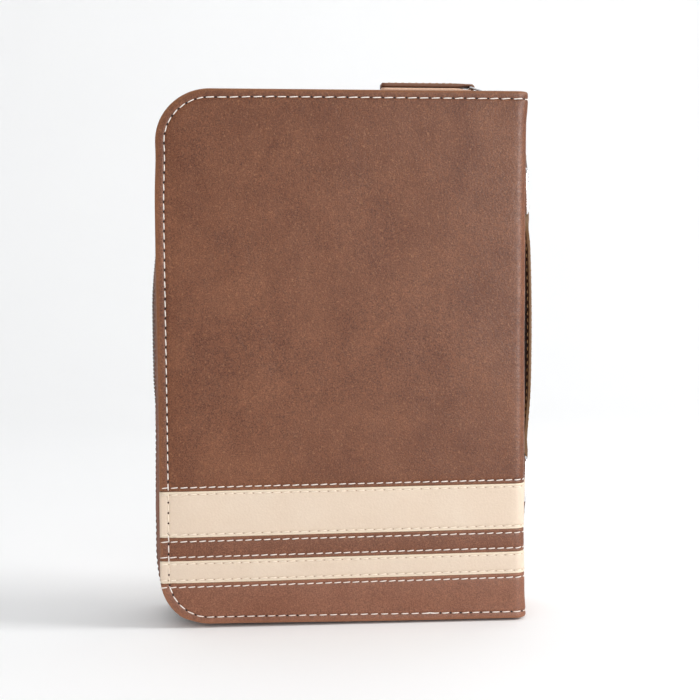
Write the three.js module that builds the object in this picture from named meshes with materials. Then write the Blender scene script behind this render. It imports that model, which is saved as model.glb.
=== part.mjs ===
// Bible in a zip-around leather case with a carry handle, in millimetres.
// +Z is up the case as it stands, +X points from the fore-edge to the spine, and the back cover
// faces -Y. The origin is under the middle of the object, on the surface that it stands on.
// The case has a back half, a spine and a front half, and the Bible's own boards, pages and
// spine lie inside the half or spine that carries them.

import * as THREE from "three";

// Outer size of the case.
const CASE_HEIGHT = 254;
const CASE_LEFT = -92;
const CASE_RIGHT = 84;
const HALF_DEPTH = 25;
const CORNER_RADIUS = 23.5;

// Gaps: between touching faces, and half the gap between two panels of the cover.
const FACE_GAP = 0.1;
const HALF_SEAM = 0.12;

// Layers of a cover, counted inwards from its outer face.
const SKIN = 1.4;
const STIFFENER = 2.5;
const LINING = 0.5;
const STIFFENER_EDGE = 1.6;
const LINING_EDGE = 2.0;

// The spine's board starts this far in from the spine's outer face.
const FOLD_ALLOWANCE = 4.7;

// Heights of the cover's seams at the fore-edge, and how far they climb towards the spine.
const SEAMS = [0, 20.6, 31.3, 42.4, 64.4, CASE_HEIGHT];
const PANELS = ["lower_panel", "narrow_stripe", "middle_band", "wide_stripe", "upper_panel"];
const SEAM_RISE = 1.6;

// Zipper, counted inwards from the cover's edge and outwards from the middle of the case.
const GUSSET = { near: 13.1, far: 20.3, outer: 2.0, inner: 3.2 };
const TAPE = { near: 3.2, far: 13.0, outer: 2.4, inner: 3.0 };
const TEETH = { near: 0.6, far: 3.1, outer: 2.05, inner: 3.35 };
const END_TAB = { depth: 28, height: 2.0, inset: 2.1 };

// Slider, where it stops beside the spine.
const SLIDER_LEFT = 64.6;
const SLIDER_LENGTH = 14.4;
const SLIDER_HALF_WIDTH = 4.2;
const SLIDER_HALF_HEIGHT = 2.2;
const SLIDER_PLATE = 1.0;
const SLIDER_NECK = 0.9;
const SLIDER_LIP = { width: 0.6, height: 0.3 };
const BRIDGE = { start: 1.0, end: 12.8, leg: 1.4, opening: 2.2, top: 0.8, width: 2.4 };

// Pull: a wire link from the bridge to the fold of a leather strip.
const LINK_WIRE = 1.0;
const LINK_PIVOT = { x: 67.7, z: 254.7 };
const LINK_EYE = { x: 59.8, z: 257.15 };
const LINK_WIDTH = 14.4;
const PULL = { left: 15, radius: 1.95, eye: 0.75, taper: 5.8, width: 11.5 };

// Carry handle on the spine: a tab, a ring and the strap, the same at both ends.
const HANDLE_MIDDLE = 136.5;
const RING_AXIS = { x: 86.15, reach: 81 };
const RING = { wire: 2, width: 28, drop: 21, corner: 3, tilt: 1.5 };
const TAB = { width: 22, tail: 13.5, thin: 0.9, eye: 1.35, wall: 0.7, shoulder: 35 };
const STRAP = { width: 22, thickness: 2.2, bulge: 3.55, play: 1.8, eye: 1.35, wall: 0.85 };
const STRAP_END = { blend: 9, slack: 0.2 };

// The Bible inside the case.
const BOOK_LOW = 11.5;
const BOOK_HIGH = 242.5;
const BOARD = { left: -82, right: 73.9, near: 18.0, far: 20.2, corner: 6 };
const PAGES = { left: -78.5, near: 0.3, far: 17.0, square: 3, corner: 6 };
const BOOK_SPINE = { left: 75.0, right: 77.3 };
const BAND = { radius: 0.4, length: 28 };
const SLEEVE = { left: -84, right: -25, near: 17.2, sheet: 0.6, wall: 0.8, low: 11 };
const RIBBON = { left: 40, right: 46, thickness: 0.4, low: 6, high: 236 };

const ARC_STEPS = 12;
const BOW_STEPS = 48;
const WIRE_BEVEL = 0.3;

const COLOURS = {
  brown_leather: [0x83573f, 0.55, 0],
  cream_leather: [0xe6d3bb, 0.5, 0],
  stiffener_board: [0x8c7a66, 0.9, 0],
  lining_cloth: [0x3a2b22, 0.9, 0],
  gusset_cloth: [0x6d4733, 0.8, 0],
  zipper_cloth: [0x5a3b2b, 0.9, 0],
  zipper_coil: [0x6b4a38, 0.4, 0],
  slider_metal: [0xc9cacb, 0.25, 1],
  ring_metal: [0xd0d2d4, 0.2, 1],
  book_cover: [0x2a1c18, 0.5, 0],
  book_paper: [0xefe8d6, 0.9, 0],
  book_band: [0xd8c9a0, 0.8, 0],
  ribbon_satin: [0x7a1f2b, 0.4, 0],
};

const object = new THREE.Group();

function addPart(name, colour, geometry) {
  const [color, roughness, metalness] = COLOURS[colour];
  const mesh = new THREE.Mesh(geometry, new THREE.MeshStandardMaterial({ color, roughness, metalness }));
  mesh.name = name;
  object.add(mesh);
}

function extrude(shape, depth) {
  return new THREE.ExtrudeGeometry(shape, { depth, bevelEnabled: false, curveSegments: ARC_STEPS });
}

// A shape drawn in X and Z, filled from y = low to y = high.
function fillAlongY(shape, low, high) {
  const geometry = extrude(shape, high - low);
  geometry.rotateX(Math.PI / 2);
  geometry.translate(0, high, 0);
  return geometry;
}

// The same between two distances from the middle of the case, on one side (-1 back, 1 front).
function fillOnSide(shape, side, near, far) {
  return fillAlongY(shape, side < 0 ? -far : near, side < 0 ? -near : far);
}

function boxBetween(low, high) {
  const size = high.map((value, axis) => value - low[axis]);
  const geometry = new THREE.BoxGeometry(...size);
  geometry.translate(...low.map((value, axis) => value + size[axis] / 2));
  return geometry;
}

function rectangle(left, low, right, high) {
  const shape = new THREE.Shape();
  shape.moveTo(left, low);
  shape.lineTo(right, low);
  shape.lineTo(right, high);
  shape.lineTo(left, high);
  shape.closePath();
  return shape;
}

function roundedRectangle(path, left, low, right, high, radius) {
  path.moveTo(left + radius, low);
  path.lineTo(right - radius, low);
  path.absarc(right - radius, low + radius, radius, -Math.PI / 2, 0, false);
  path.lineTo(right, high - radius);
  path.absarc(right - radius, high - radius, radius, 0, Math.PI / 2, false);
  path.lineTo(left + radius, high);
  path.absarc(left + radius, high - radius, radius, Math.PI / 2, Math.PI, false);
  path.lineTo(left, low + radius);
  path.absarc(left + radius, low + radius, radius, Math.PI, 1.5 * Math.PI, false);
  return path;
}

// A sheet with two round corners at the fore-edge and a square edge at the spine.
function sheetShape(left, low, right, high, radius) {
  const shape = new THREE.Shape();
  shape.moveTo(right, low);
  shape.lineTo(right, high);
  shape.lineTo(left + radius, high);
  shape.absarc(left + radius, high - radius, radius, Math.PI / 2, Math.PI, false);
  shape.lineTo(left, low + radius);
  shape.absarc(left + radius, low + radius, radius, Math.PI, 1.5 * Math.PI, false);
  shape.closePath();
  return shape;
}

function coverShape(edge, right) {
  return sheetShape(CASE_LEFT + edge, edge, right, CASE_HEIGHT - edge, CORNER_RADIUS - edge);
}

// Height of a seam at x; the first and last are the straight edges of the case.
function seamHeight(index, x) {
  const isEdge = index === 0 || index === SEAMS.length - 1;
  const climb = isEdge ? 0 : (SEAM_RISE * (x - CASE_LEFT)) / (CASE_RIGHT - CASE_LEFT);
  const gap = isEdge ? 0 : HALF_SEAM;
  return { above: SEAMS[index] + climb + gap, below: SEAMS[index] + climb - gap };
}

// How far round a corner of the fore-edge a point lies that is this far from the case's end.
function cornerTurn(fromEnd) {
  return Math.asin(Math.max(1 - fromEnd / CORNER_RADIUS, 0));
}

// One leather panel of a cover, between two seams.
function panelShape(index, right) {
  const low = seamHeight(index, CASE_LEFT).above;
  const high = seamHeight(index + 1, CASE_LEFT).below;
  const topTurn = cornerTurn(CASE_HEIGHT - high);
  const bottomTurn = cornerTurn(low);
  const bottomStart = Math.PI + cornerTurn(high);
  const centre = CASE_LEFT + CORNER_RADIUS;
  const shape = new THREE.Shape();
  shape.moveTo(right, seamHeight(index, right).above);
  shape.lineTo(right, seamHeight(index + 1, right).below);
  if (topTurn > 0) {
    shape.absarc(centre, CASE_HEIGHT - CORNER_RADIUS, CORNER_RADIUS, Math.PI - topTurn, Math.PI, false);
  } else {
    if (bottomStart === Math.PI) shape.lineTo(CASE_LEFT, high);
  }
  if (bottomTurn > 0) {
    shape.absarc(centre, CORNER_RADIUS, CORNER_RADIUS, bottomStart, Math.PI + bottomTurn, false);
  } else {
    shape.lineTo(CASE_LEFT, low);
  }
  shape.closePath();
  return shape;
}

// A band that follows the three open edges of the case, from the spine round to the spine.
function zipBand(outer, inner, right) {
  const centre = CASE_LEFT + CORNER_RADIUS;
  const top = CASE_HEIGHT - CORNER_RADIUS;
  const shape = new THREE.Shape();
  shape.moveTo(right, CASE_HEIGHT - outer);
  shape.lineTo(centre, CASE_HEIGHT - outer);
  shape.absarc(centre, top, CORNER_RADIUS - outer, Math.PI / 2, Math.PI, false);
  shape.absarc(centre, CORNER_RADIUS, CORNER_RADIUS - outer, Math.PI, 1.5 * Math.PI, false);
  shape.lineTo(right, outer);
  shape.lineTo(right, inner);
  shape.absarc(centre, CORNER_RADIUS, CORNER_RADIUS - inner, 1.5 * Math.PI, Math.PI, true);
  shape.absarc(centre, top, CORNER_RADIUS - inner, Math.PI, Math.PI / 2, true);
  shape.lineTo(right, CASE_HEIGHT - inner);
  shape.closePath();
  return shape;
}

// The pocket that a board of the Bible slides into: a sheet and the strip that closes its side.
function sleeveGeometry(side) {
  const nearFace = side * SLEEVE.near;
  const sheetFace = side * (SLEEVE.near + SLEEVE.sheet);
  const closedFace = side * GUSSET.far;
  const shape = new THREE.Shape();
  shape.moveTo(SLEEVE.left, nearFace);
  shape.lineTo(SLEEVE.right, nearFace);
  shape.lineTo(SLEEVE.right, sheetFace);
  shape.lineTo(SLEEVE.left + SLEEVE.wall, sheetFace);
  shape.lineTo(SLEEVE.left + SLEEVE.wall, closedFace);
  shape.lineTo(SLEEVE.left, closedFace);
  shape.closePath();
  const geometry = extrude(shape, CASE_HEIGHT - 2 * SLEEVE.low);
  geometry.translate(0, 0, SLEEVE.low);
  return geometry;
}

function addCoverHalf(half, side) {
  const boardEdge = CASE_RIGHT - FOLD_ALLOWANCE;
  const skinEdge = CASE_RIGHT - SKIN - FACE_GAP;
  PANELS.forEach((panel, index) => {
    const colour = panel.endsWith("stripe") ? "cream_leather" : "brown_leather";
    const shape = panelShape(index, skinEdge);
    addPart(`${half}_${panel}`, colour, fillOnSide(shape, side, HALF_DEPTH - SKIN, HALF_DEPTH));
  });
  const boardFar = HALF_DEPTH - SKIN - FACE_GAP;
  const boardNear = boardFar - STIFFENER;
  const liningFar = boardNear - FACE_GAP;
  const board = coverShape(STIFFENER_EDGE, boardEdge);
  const lining = coverShape(LINING_EDGE, boardEdge);
  addPart(`${half}_stiffener`, "stiffener_board", fillOnSide(board, side, boardNear, boardFar));
  addPart(`${half}_lining`, "lining_cloth", fillOnSide(lining, side, liningFar - LINING, liningFar));
  addPart(`${half}_sleeve`, "lining_cloth", sleeveGeometry(side));
  addZipperHalf(half, side, boardEdge);
  addBookHalf(half, side);
}

function addZipperHalf(half, side, right) {
  const bands = [
    ["gusset", "gusset_cloth", GUSSET],
    ["zipper_tape", "zipper_cloth", TAPE],
    ["zipper_teeth", "zipper_coil", TEETH],
  ];
  bands.forEach(([name, colour, band]) => {
    const shape = zipBand(band.outer, band.inner, right);
    addPart(`${half}_${name}`, colour, fillOnSide(shape, side, band.near, band.far));
  });
}

function addBookHalf(half, side) {
  const board = sheetShape(BOARD.left, BOOK_LOW, BOARD.right, BOOK_HIGH, BOARD.corner);
  const pagesLow = BOOK_LOW + PAGES.square;
  const pagesHigh = BOOK_HIGH - PAGES.square;
  const pages = sheetShape(PAGES.left, pagesLow, BOARD.right, pagesHigh, PAGES.corner);
  addPart(`bible_${half}_board`, "book_cover", fillOnSide(board, side, BOARD.near, BOARD.far));
  addPart(`bible_${half}_pages`, "book_paper", fillOnSide(pages, side, PAGES.near, PAGES.far));
}

function addSpine() {
  const inner = CASE_RIGHT - SKIN;
  PANELS.forEach((panel, index) => {
    const low = [inner, -HALF_DEPTH, seamHeight(index, CASE_RIGHT).above];
    const high = [CASE_RIGHT, HALF_DEPTH, seamHeight(index + 1, CASE_RIGHT).below];
    const colour = panel.endsWith("stripe") ? "cream_leather" : "brown_leather";
    addPart(`spine_${panel}`, colour, boxBetween(low, high));
  });
  const boardRight = inner - FACE_GAP;
  const boardLeft = boardRight - STIFFENER;
  const liningRight = boardLeft - FACE_GAP;
  const halfWidth = BOARD.far;
  const boardLow = END_TAB.inset + END_TAB.height + FACE_GAP;
  const boardHigh = CASE_HEIGHT - boardLow;
  const stiffener = boxBetween([boardLeft, -halfWidth, boardLow], [boardRight, halfWidth, boardHigh]);
  const liningLeft = liningRight - LINING;
  const lining = boxBetween([liningLeft, -halfWidth, boardLow], [liningRight, halfWidth, boardHigh]);
  addPart("spine_stiffener", "stiffener_board", stiffener);
  addPart("spine_lining", "lining_cloth", lining);
  const tabLow = [liningLeft, -END_TAB.depth / 2];
  const tabHigh = [boardRight, END_TAB.depth / 2];
  const ends = { bottom: END_TAB.inset, top: CASE_HEIGHT - END_TAB.inset - END_TAB.height };
  Object.entries(ends).forEach(([end, z]) => {
    const tab = boxBetween([...tabLow, z], [...tabHigh, z + END_TAB.height]);
    addPart(`${end}_zipper_end_tab`, "brown_leather", tab);
  });
}

function addBookSpine() {
  const halfWidth = BOARD.far;
  const low = [BOOK_SPINE.left, -halfWidth, BOOK_LOW];
  const high = [BOOK_SPINE.right, halfWidth, BOOK_HIGH];
  addPart("bible_spine", "book_cover", boxBetween(low, high));
  const bandX = (BOARD.right + BOOK_SPINE.left) / 2;
  const bands = { tail_band: BOOK_LOW + PAGES.square, head_band: BOOK_HIGH - PAGES.square };
  Object.entries(bands).forEach(([name, z]) => {
    const geometry = new THREE.CylinderGeometry(BAND.radius, BAND.radius, BAND.length, ARC_STEPS);
    geometry.translate(bandX, 0, z);
    addPart(name, "book_band", geometry);
  });
}

function addRibbon() {
  const shape = rectangle(RIBBON.left, RIBBON.low, RIBBON.right, RIBBON.high);
  const geometry = fillAlongY(shape, -RIBBON.thickness / 2, RIBBON.thickness / 2);
  addPart("ribbon_marker", "ribbon_satin", geometry);
}

// Two plates with lips that hold the teeth between them, and the neck that joins the plates.
function sliderProfile() {
  const width = SLIDER_HALF_WIDTH;
  const height = SLIDER_HALF_HEIGHT;
  const inside = height - SLIDER_PLATE;
  const lipInside = width - SLIDER_LIP.width;
  const lipEnd = inside - SLIDER_LIP.height;
  const neck = SLIDER_NECK / 2;
  const quarter = [
    [width, height],
    [width, lipEnd],
    [lipInside, lipEnd],
    [lipInside, inside],
    [neck, inside],
  ];
  const flip = (points, y, z) => points.map((point) => [point[0] * y, point[1] * z]);
  const outline = [
    ...quarter,
    ...flip(quarter, 1, -1).reverse(),
    ...flip(quarter, -1, -1),
    ...flip(quarter, -1, 1).reverse(),
  ];
  return new THREE.Shape(outline.map(([y, z]) => new THREE.Vector2(y, z)));
}

function addSlider() {
  const middle = CASE_HEIGHT - (TEETH.outer + TEETH.inner) / 2;
  const body = extrude(sliderProfile(), SLIDER_LENGTH);
  const alongX = new THREE.Matrix4().set(0, 0, 1, SLIDER_LEFT, 1, 0, 0, 0, 0, 1, 0, middle, 0, 0, 0, 1);
  body.applyMatrix4(alongX);
  addPart("slider_body", "slider_metal", body);
  const plateTop = middle + SLIDER_HALF_HEIGHT;
  const left = SLIDER_LEFT + BRIDGE.start;
  const right = SLIDER_LEFT + BRIDGE.end;
  const foot = plateTop + FACE_GAP;
  const ceiling = plateTop + BRIDGE.opening + FACE_GAP;
  const shape = new THREE.Shape();
  shape.moveTo(left, foot);
  shape.lineTo(left + BRIDGE.leg, foot);
  shape.lineTo(left + BRIDGE.leg, ceiling);
  shape.lineTo(right - BRIDGE.leg, ceiling);
  shape.lineTo(right - BRIDGE.leg, foot);
  shape.lineTo(right, foot);
  shape.lineTo(right, ceiling);
  shape.absarc(right - BRIDGE.top, ceiling, BRIDGE.top, 0, Math.PI / 2, false);
  shape.absarc(left + BRIDGE.top, ceiling, BRIDGE.top, Math.PI / 2, Math.PI, false);
  shape.closePath();
  addPart("slider_bridge", "slider_metal", fillAlongY(shape, -BRIDGE.width / 2, BRIDGE.width / 2));
}

// A closed wire loop drawn flat and given the wire's thickness, with its edges rounded off.
function wireLoop(outline, hole, wire) {
  outline.holes.push(hole);
  const geometry = new THREE.ExtrudeGeometry(outline, {
    depth: wire - 2 * WIRE_BEVEL,
    bevelEnabled: true,
    bevelThickness: WIRE_BEVEL,
    bevelSize: WIRE_BEVEL,
    bevelOffset: -WIRE_BEVEL,
    bevelSegments: 2,
    curveSegments: ARC_STEPS / 3,
  });
  geometry.translate(0, 0, WIRE_BEVEL - wire / 2);
  return geometry;
}

function addPull() {
  const run = LINK_PIVOT.x - LINK_EYE.x;
  const climb = LINK_EYE.z - LINK_PIVOT.z;
  const reach = Math.hypot(run, climb);
  const half = LINK_WIDTH / 2;
  const edge = LINK_WIRE / 2;
  const corner = LINK_WIRE;
  const outline = roundedRectangle(new THREE.Shape(), -reach - edge, -half, edge, half, corner);
  const inner = half - LINK_WIRE;
  const hole = roundedRectangle(new THREE.Path(), -reach + edge, -inner, -edge, inner, edge);
  const link = wireLoop(outline, hole, LINK_WIRE);
  link.rotateY(Math.atan2(climb, run));
  link.translate(LINK_PIVOT.x, 0, LINK_PIVOT.z);
  addPart("pull_link", "slider_metal", link);

  const strip = new THREE.Shape();
  strip.moveTo(PULL.left, LINK_EYE.z - PULL.radius);
  strip.lineTo(LINK_EYE.x, LINK_EYE.z - PULL.radius);
  strip.absarc(LINK_EYE.x, LINK_EYE.z, PULL.radius, -Math.PI / 2, Math.PI / 2, false);
  strip.lineTo(PULL.left, LINK_EYE.z + PULL.radius);
  strip.closePath();
  const eye = new THREE.Path();
  eye.moveTo(LINK_EYE.x - PULL.taper, LINK_EYE.z);
  eye.lineTo(LINK_EYE.x, LINK_EYE.z - PULL.eye);
  eye.absarc(LINK_EYE.x, LINK_EYE.z, PULL.eye, -Math.PI / 2, Math.PI / 2, false);
  eye.closePath();
  strip.holes.push(eye);
  addPart("leather_pull", "brown_leather", fillAlongY(strip, -PULL.width / 2, PULL.width / 2));
}

// A leather tab on the spine, with an eye for the ring; end is 1 at the top and -1 at the bottom.
function tabGeometry(end) {
  const axisZ = HANDLE_MIDDLE + end * RING_AXIS.reach;
  const back = CASE_RIGHT + FACE_GAP;
  const outer = TAB.eye + TAB.wall;
  const shoulder = THREE.MathUtils.degToRad(TAB.shoulder);
  const shape = new THREE.Shape();
  shape.moveTo(back, end * TAB.tail);
  shape.lineTo(back + TAB.thin, end * TAB.tail);
  shape.absarc(RING_AXIS.x, 0, outer, end * shoulder, -end * Math.PI, end > 0);
  shape.lineTo(back, 0);
  shape.closePath();
  const eye = new THREE.Path();
  eye.absarc(RING_AXIS.x, 0, TAB.eye, 0, 2 * Math.PI, false);
  shape.holes.push(eye);
  const geometry = fillAlongY(shape, -TAB.width / 2, TAB.width / 2);
  geometry.translate(0, 0, axisZ);
  return geometry;
}

function ringGeometry(end) {
  const half = RING.width / 2;
  const edge = RING.wire / 2;
  const far = RING.drop + edge;
  const outline = roundedRectangle(new THREE.Shape(), -half, -far, half, edge, RING.corner);
  const inner = half - RING.wire;
  const holeLow = -RING.drop + edge;
  const hole = roundedRectangle(new THREE.Path(), -inner, holeLow, inner, -edge, RING.corner - RING.wire);
  const geometry = wireLoop(outline, hole, RING.wire);
  geometry.applyMatrix4(new THREE.Matrix4().set(0, 0, 1, 0, 1, 0, 0, 0, 0, 1, 0, 0, 0, 0, 0, 1));
  if (end < 0) geometry.rotateX(Math.PI);
  geometry.rotateY(-end * THREE.MathUtils.degToRad(RING.tilt));
  geometry.translate(RING_AXIS.x, 0, HANDLE_MIDDLE + end * RING_AXIS.reach);
  return geometry;
}

// The strap: a bowed strip whose ends widen into the eyes that hold the rings.
function addStrap() {
  const tilt = THREE.MathUtils.degToRad(RING.tilt);
  const eyeX = RING_AXIS.x + RING.drop * Math.sin(tilt);
  const eyeReach = RING_AXIS.reach - RING.drop * Math.cos(tilt);
  const endReach = eyeReach + STRAP.play;
  const endHalf = STRAP.eye + STRAP.wall;
  const middleHalf = STRAP.thickness / 2;
  const edgeAt = (index, side) => {
    const reach = -endReach + (2 * endReach * index) / BOW_STEPS;
    const bow = Math.max(1 - (reach / eyeReach) ** 2, 0) * STRAP.bulge;
    const intoBlend = (Math.abs(reach) - eyeReach + STRAP_END.blend) / STRAP_END.blend;
    const widen = THREE.MathUtils.smoothstep(intoBlend, 0, 1);
    const half = middleHalf + (endHalf - middleHalf) * widen;
    return [eyeX + bow + side * half, reach];
  };
  const shape = new THREE.Shape();
  shape.moveTo(...edgeAt(0, 1));
  for (let index = 1; index < BOW_STEPS; index += 1) shape.lineTo(...edgeAt(index, 1));
  shape.absarc(eyeX, endReach, endHalf, 0, Math.PI, false);
  for (let index = BOW_STEPS - 1; index > 0; index -= 1) shape.lineTo(...edgeAt(index, -1));
  shape.absarc(eyeX, -endReach, endHalf, Math.PI, 2 * Math.PI, false);
  shape.closePath();
  [1, -1].forEach((end) => {
    const low = Math.min(end * (eyeReach - STRAP_END.slack), end * endReach);
    const high = Math.max(end * (eyeReach - STRAP_END.slack), end * endReach);
    const eye = new THREE.Path();
    eye.absarc(eyeX, high, STRAP.eye, 0, Math.PI, false);
    eye.absarc(eyeX, low, STRAP.eye, Math.PI, 2 * Math.PI, false);
    eye.closePath();
    shape.holes.push(eye);
  });
  const geometry = fillAlongY(shape, -STRAP.width / 2, STRAP.width / 2);
  geometry.translate(0, 0, HANDLE_MIDDLE);
  addPart("handle_strap", "brown_leather", geometry);
}

function addHandle() {
  Object.entries({ upper: 1, lower: -1 }).forEach(([name, end]) => {
    addPart(`${name}_ring_tab`, "brown_leather", tabGeometry(end));
    addPart(`${name}_ring`, "ring_metal", ringGeometry(end));
  });
  addStrap();
}

addCoverHalf("back", -1);
addCoverHalf("front", 1);
addSpine();
addBookSpine();
addRibbon();
addSlider();
addPull();
addHandle();

export default object;
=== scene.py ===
"""A Bible in a zip-around leather case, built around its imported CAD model.

Lengths here are in millimetres in the row frame, and each mesh is scaled to metres when it
is made. The back half faces -Y, towards the camera, and the spine is at +X.
"""

import math

import bmesh
import bpy
import numpy as np
from mathutils import Matrix, Vector, noise
from mathutils.geometry import delaunay_2d_cdt


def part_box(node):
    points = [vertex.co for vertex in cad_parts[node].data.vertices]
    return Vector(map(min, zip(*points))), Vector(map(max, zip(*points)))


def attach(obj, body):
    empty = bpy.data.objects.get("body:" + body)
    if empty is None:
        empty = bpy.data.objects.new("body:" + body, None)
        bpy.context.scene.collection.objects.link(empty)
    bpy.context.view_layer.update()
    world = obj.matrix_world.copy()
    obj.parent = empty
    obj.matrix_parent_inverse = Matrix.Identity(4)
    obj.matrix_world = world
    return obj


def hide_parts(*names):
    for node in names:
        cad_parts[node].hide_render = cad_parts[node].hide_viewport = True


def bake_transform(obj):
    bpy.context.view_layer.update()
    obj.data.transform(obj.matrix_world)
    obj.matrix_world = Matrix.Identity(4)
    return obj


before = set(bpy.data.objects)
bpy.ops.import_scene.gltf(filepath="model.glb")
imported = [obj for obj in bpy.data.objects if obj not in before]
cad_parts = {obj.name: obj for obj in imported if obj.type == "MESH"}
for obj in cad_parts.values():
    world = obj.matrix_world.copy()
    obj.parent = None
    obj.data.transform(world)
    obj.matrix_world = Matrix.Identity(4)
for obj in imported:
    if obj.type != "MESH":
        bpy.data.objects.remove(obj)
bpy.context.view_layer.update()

MM = 0.001


def low_of(node):
    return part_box(node)[0] / MM


def high_of(node):
    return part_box(node)[1] / MM


# ---------------------------------------------------------------- sizes from the CAD

LEFT = low_of("back_upper_panel").x
RIGHT = high_of("spine_upper_panel").x
TOP = high_of("back_upper_panel").z
FACE = high_of("front_upper_panel").y
CORNER = 23.5
TOP_CORNER = 26.0
TOP_DROP = 0.55
TOP_EDGE = TOP - TOP_DROP
FOLD_RADIUS = 5.0
PANELS = ["lower_panel", "narrow_stripe", "middle_band", "wide_stripe", "upper_panel"]
SEAM_GAP = 0.12
SEAM_LEFT = [low_of("back_" + name).z - SEAM_GAP for name in PANELS[1:]]
SEAM_RIGHT = [high_of("spine_" + name).z + SEAM_GAP for name in PANELS[:-1]]

# Turned edge, stitch rows and seams of the cover.
EDGE_ROUND = 1.3
EDGE_STITCH = 4.2
SEAM_ROUND = 0.5
ROW_ON_BROWN = 1.85
ROW_ON_CREAM = 1.5
INNER = -4.6
SEAM_DEPTH = -1.3


# ---------------------------------------------------------------- mesh helpers


def make_object(name, verts, faces, values=None):
    """A mesh object from points in millimetres; every point keeps its rest place for textures."""
    mesh = bpy.data.meshes.new(name)
    points = np.asarray(verts, float)
    mesh.from_pydata((points * MM).tolist(), [], faces)
    mesh.polygons.foreach_set("use_smooth", [True] * len(mesh.polygons))
    rest = mesh.attributes.new("rest", "FLOAT_VECTOR", "POINT")
    rest.data.foreach_set("vector", points.astype(np.float32).ravel())
    for key, data in (values or {}).items():
        layer = mesh.attributes.new(key, "FLOAT", "POINT")
        layer.data.foreach_set("value", np.asarray(data, np.float32))
    mesh.update()
    made = bpy.data.objects.new(name, mesh)
    bpy.context.scene.collection.objects.link(made)
    return made


class Batch:
    """Collects many small shapes into one mesh."""

    def __init__(self):
        self.verts = []
        self.faces = []
        self.values = []

    def add(self, verts, faces, values=None):
        first = len(self.verts)
        self.verts += verts
        self.faces += [[first + i for i in face] for face in faces]
        self.values += values or [0.0] * len(verts)

    def make(self, name):
        return make_object(name, self.verts, self.faces, {"along": self.values})


def tube_faces(rows, size):
    """Faces of a closed tube of rows of points, each row with the same size, and its two end caps."""
    faces = []
    for i in range(rows - 1):
        for j in range(size):
            a, b = i * size + j, i * size + (j + 1) % size
            faces.append([a, b, b + size, a + size])
    faces.append(list(range(size))[::-1])
    faces.append([(rows - 1) * size + j for j in range(size)])
    return faces


def finish_piece(piece, mat, replaces=()):
    piece.data.materials.append(mat)
    if replaces:
        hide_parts(*replaces)
    return piece


def drop(distance, radius):
    """How far a rounded edge lies below its face at a distance from the edge."""
    if distance >= radius:
        return 0.0
    return radius - math.sqrt(max(radius**2 - (radius - max(distance, 0.0)) ** 2, 0.0))


def bell(distance, width):
    return math.exp(-((distance / width) ** 2))


def smooth_step(low, high, value):
    t = min(max((value - low) / (high - low), 0.0), 1.0)
    return t * t * (3 - 2 * t)


class Wrap:
    """A sheet along one cover that bends round the fold and runs to the middle of the spine.

    A place on it is (s, z): s is x on the cover, and goes on as length round the bend.
    """

    def __init__(self, side, right, face, radius, settled=False):
        self.side = side
        self.right = right
        self.face = face
        self.radius = radius
        self.settled = settled
        self.bend = right - radius
        self.after = self.bend + radius * math.pi / 2
        self.middle = self.after + face - radius

    def place(self, s, z, h=0.0):
        if s <= self.bend:
            x, y = s, self.face + h
        elif s < self.after:
            angle = (s - self.bend) / self.radius
            reach = max(self.radius + h, 0.0)
            x = self.bend + reach * math.sin(angle)
            y = self.face - self.radius + reach * math.cos(angle)
        else:
            x, y = self.right + h, self.middle - s
        if h < 0:
            x, y = min(x, self.right + h), min(y, self.face + h)
        if self.settled:
            x, z = self.settling(s, x, z)
        return (x, self.side * y, z)

    def settling(self, s, x, z):
        """Worn leather off its cut shape: fore-edge drawn in, its foot lifted, spine ends flared."""
        drawn = (0.8 * smooth_step(215, 55, z) + 0.6 * bell(z - 222, 12)) * smooth_step(-45, -80, s)
        lifted = 0.8 * smooth_step(40, -80, s) * smooth_step(4.6, 1.0, z)
        flare = 1.2 * smooth_step(238, 250, z) + 0.6 * smooth_step(50, 14, z) + 0.8 * smooth_step(14, 4, z)
        return x + drawn + flare * smooth_step(self.bend - 5, self.after, s), z + lifted

    def columns(self, left, step):
        flat = list(np.linspace(left, self.bend, max(2, round((self.bend - left) / step))))
        bend = list(np.linspace(self.bend, self.after, 9))[1:]
        back = list(np.linspace(self.after, self.middle, 9))[1:]
        return [float(s) for s in flat + bend + back]


# ---------------------------------------------------------------- camera and stage

scene = bpy.context.scene
camera_data = bpy.data.cameras.new("camera")
camera_data.lens = 70.9
camera_data.sensor_width = 36.0
camera_data.clip_end = 50.0
camera = bpy.data.objects.new("camera", camera_data)
turn = Matrix.Rotation(math.radians(-4.97), 3, "Z")
nod = Matrix.Rotation(math.radians(-3.34), 3, "X")
roll = Matrix.Rotation(math.radians(0.12), 3, "Y")
look = turn @ nod @ roll @ Matrix.Rotation(math.pi / 2, 3, "X")
camera.matrix_world = Matrix.Translation(Vector((-57.3, -675.0, 169.0)) * MM) @ look.to_4x4()
scene.collection.objects.link(camera)
scene.camera = camera
scene.view_settings.view_transform = "Standard"


def area_light(name, at, aim, size, power, colour=(1.0, 1.0, 1.0)):
    data = bpy.data.lights.new(name, "AREA")
    data.shape = "RECTANGLE"
    data.size, data.size_y = size
    data.energy = power
    data.color = colour
    lamp = bpy.data.objects.new(name, data)
    direction = Vector(aim) - Vector(at)
    facing = direction.to_track_quat("-Z", "Y").to_matrix().to_4x4()
    lamp.matrix_world = Matrix.Translation(Vector(at)) @ facing
    scene.collection.objects.link(lamp)
    return lamp


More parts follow.
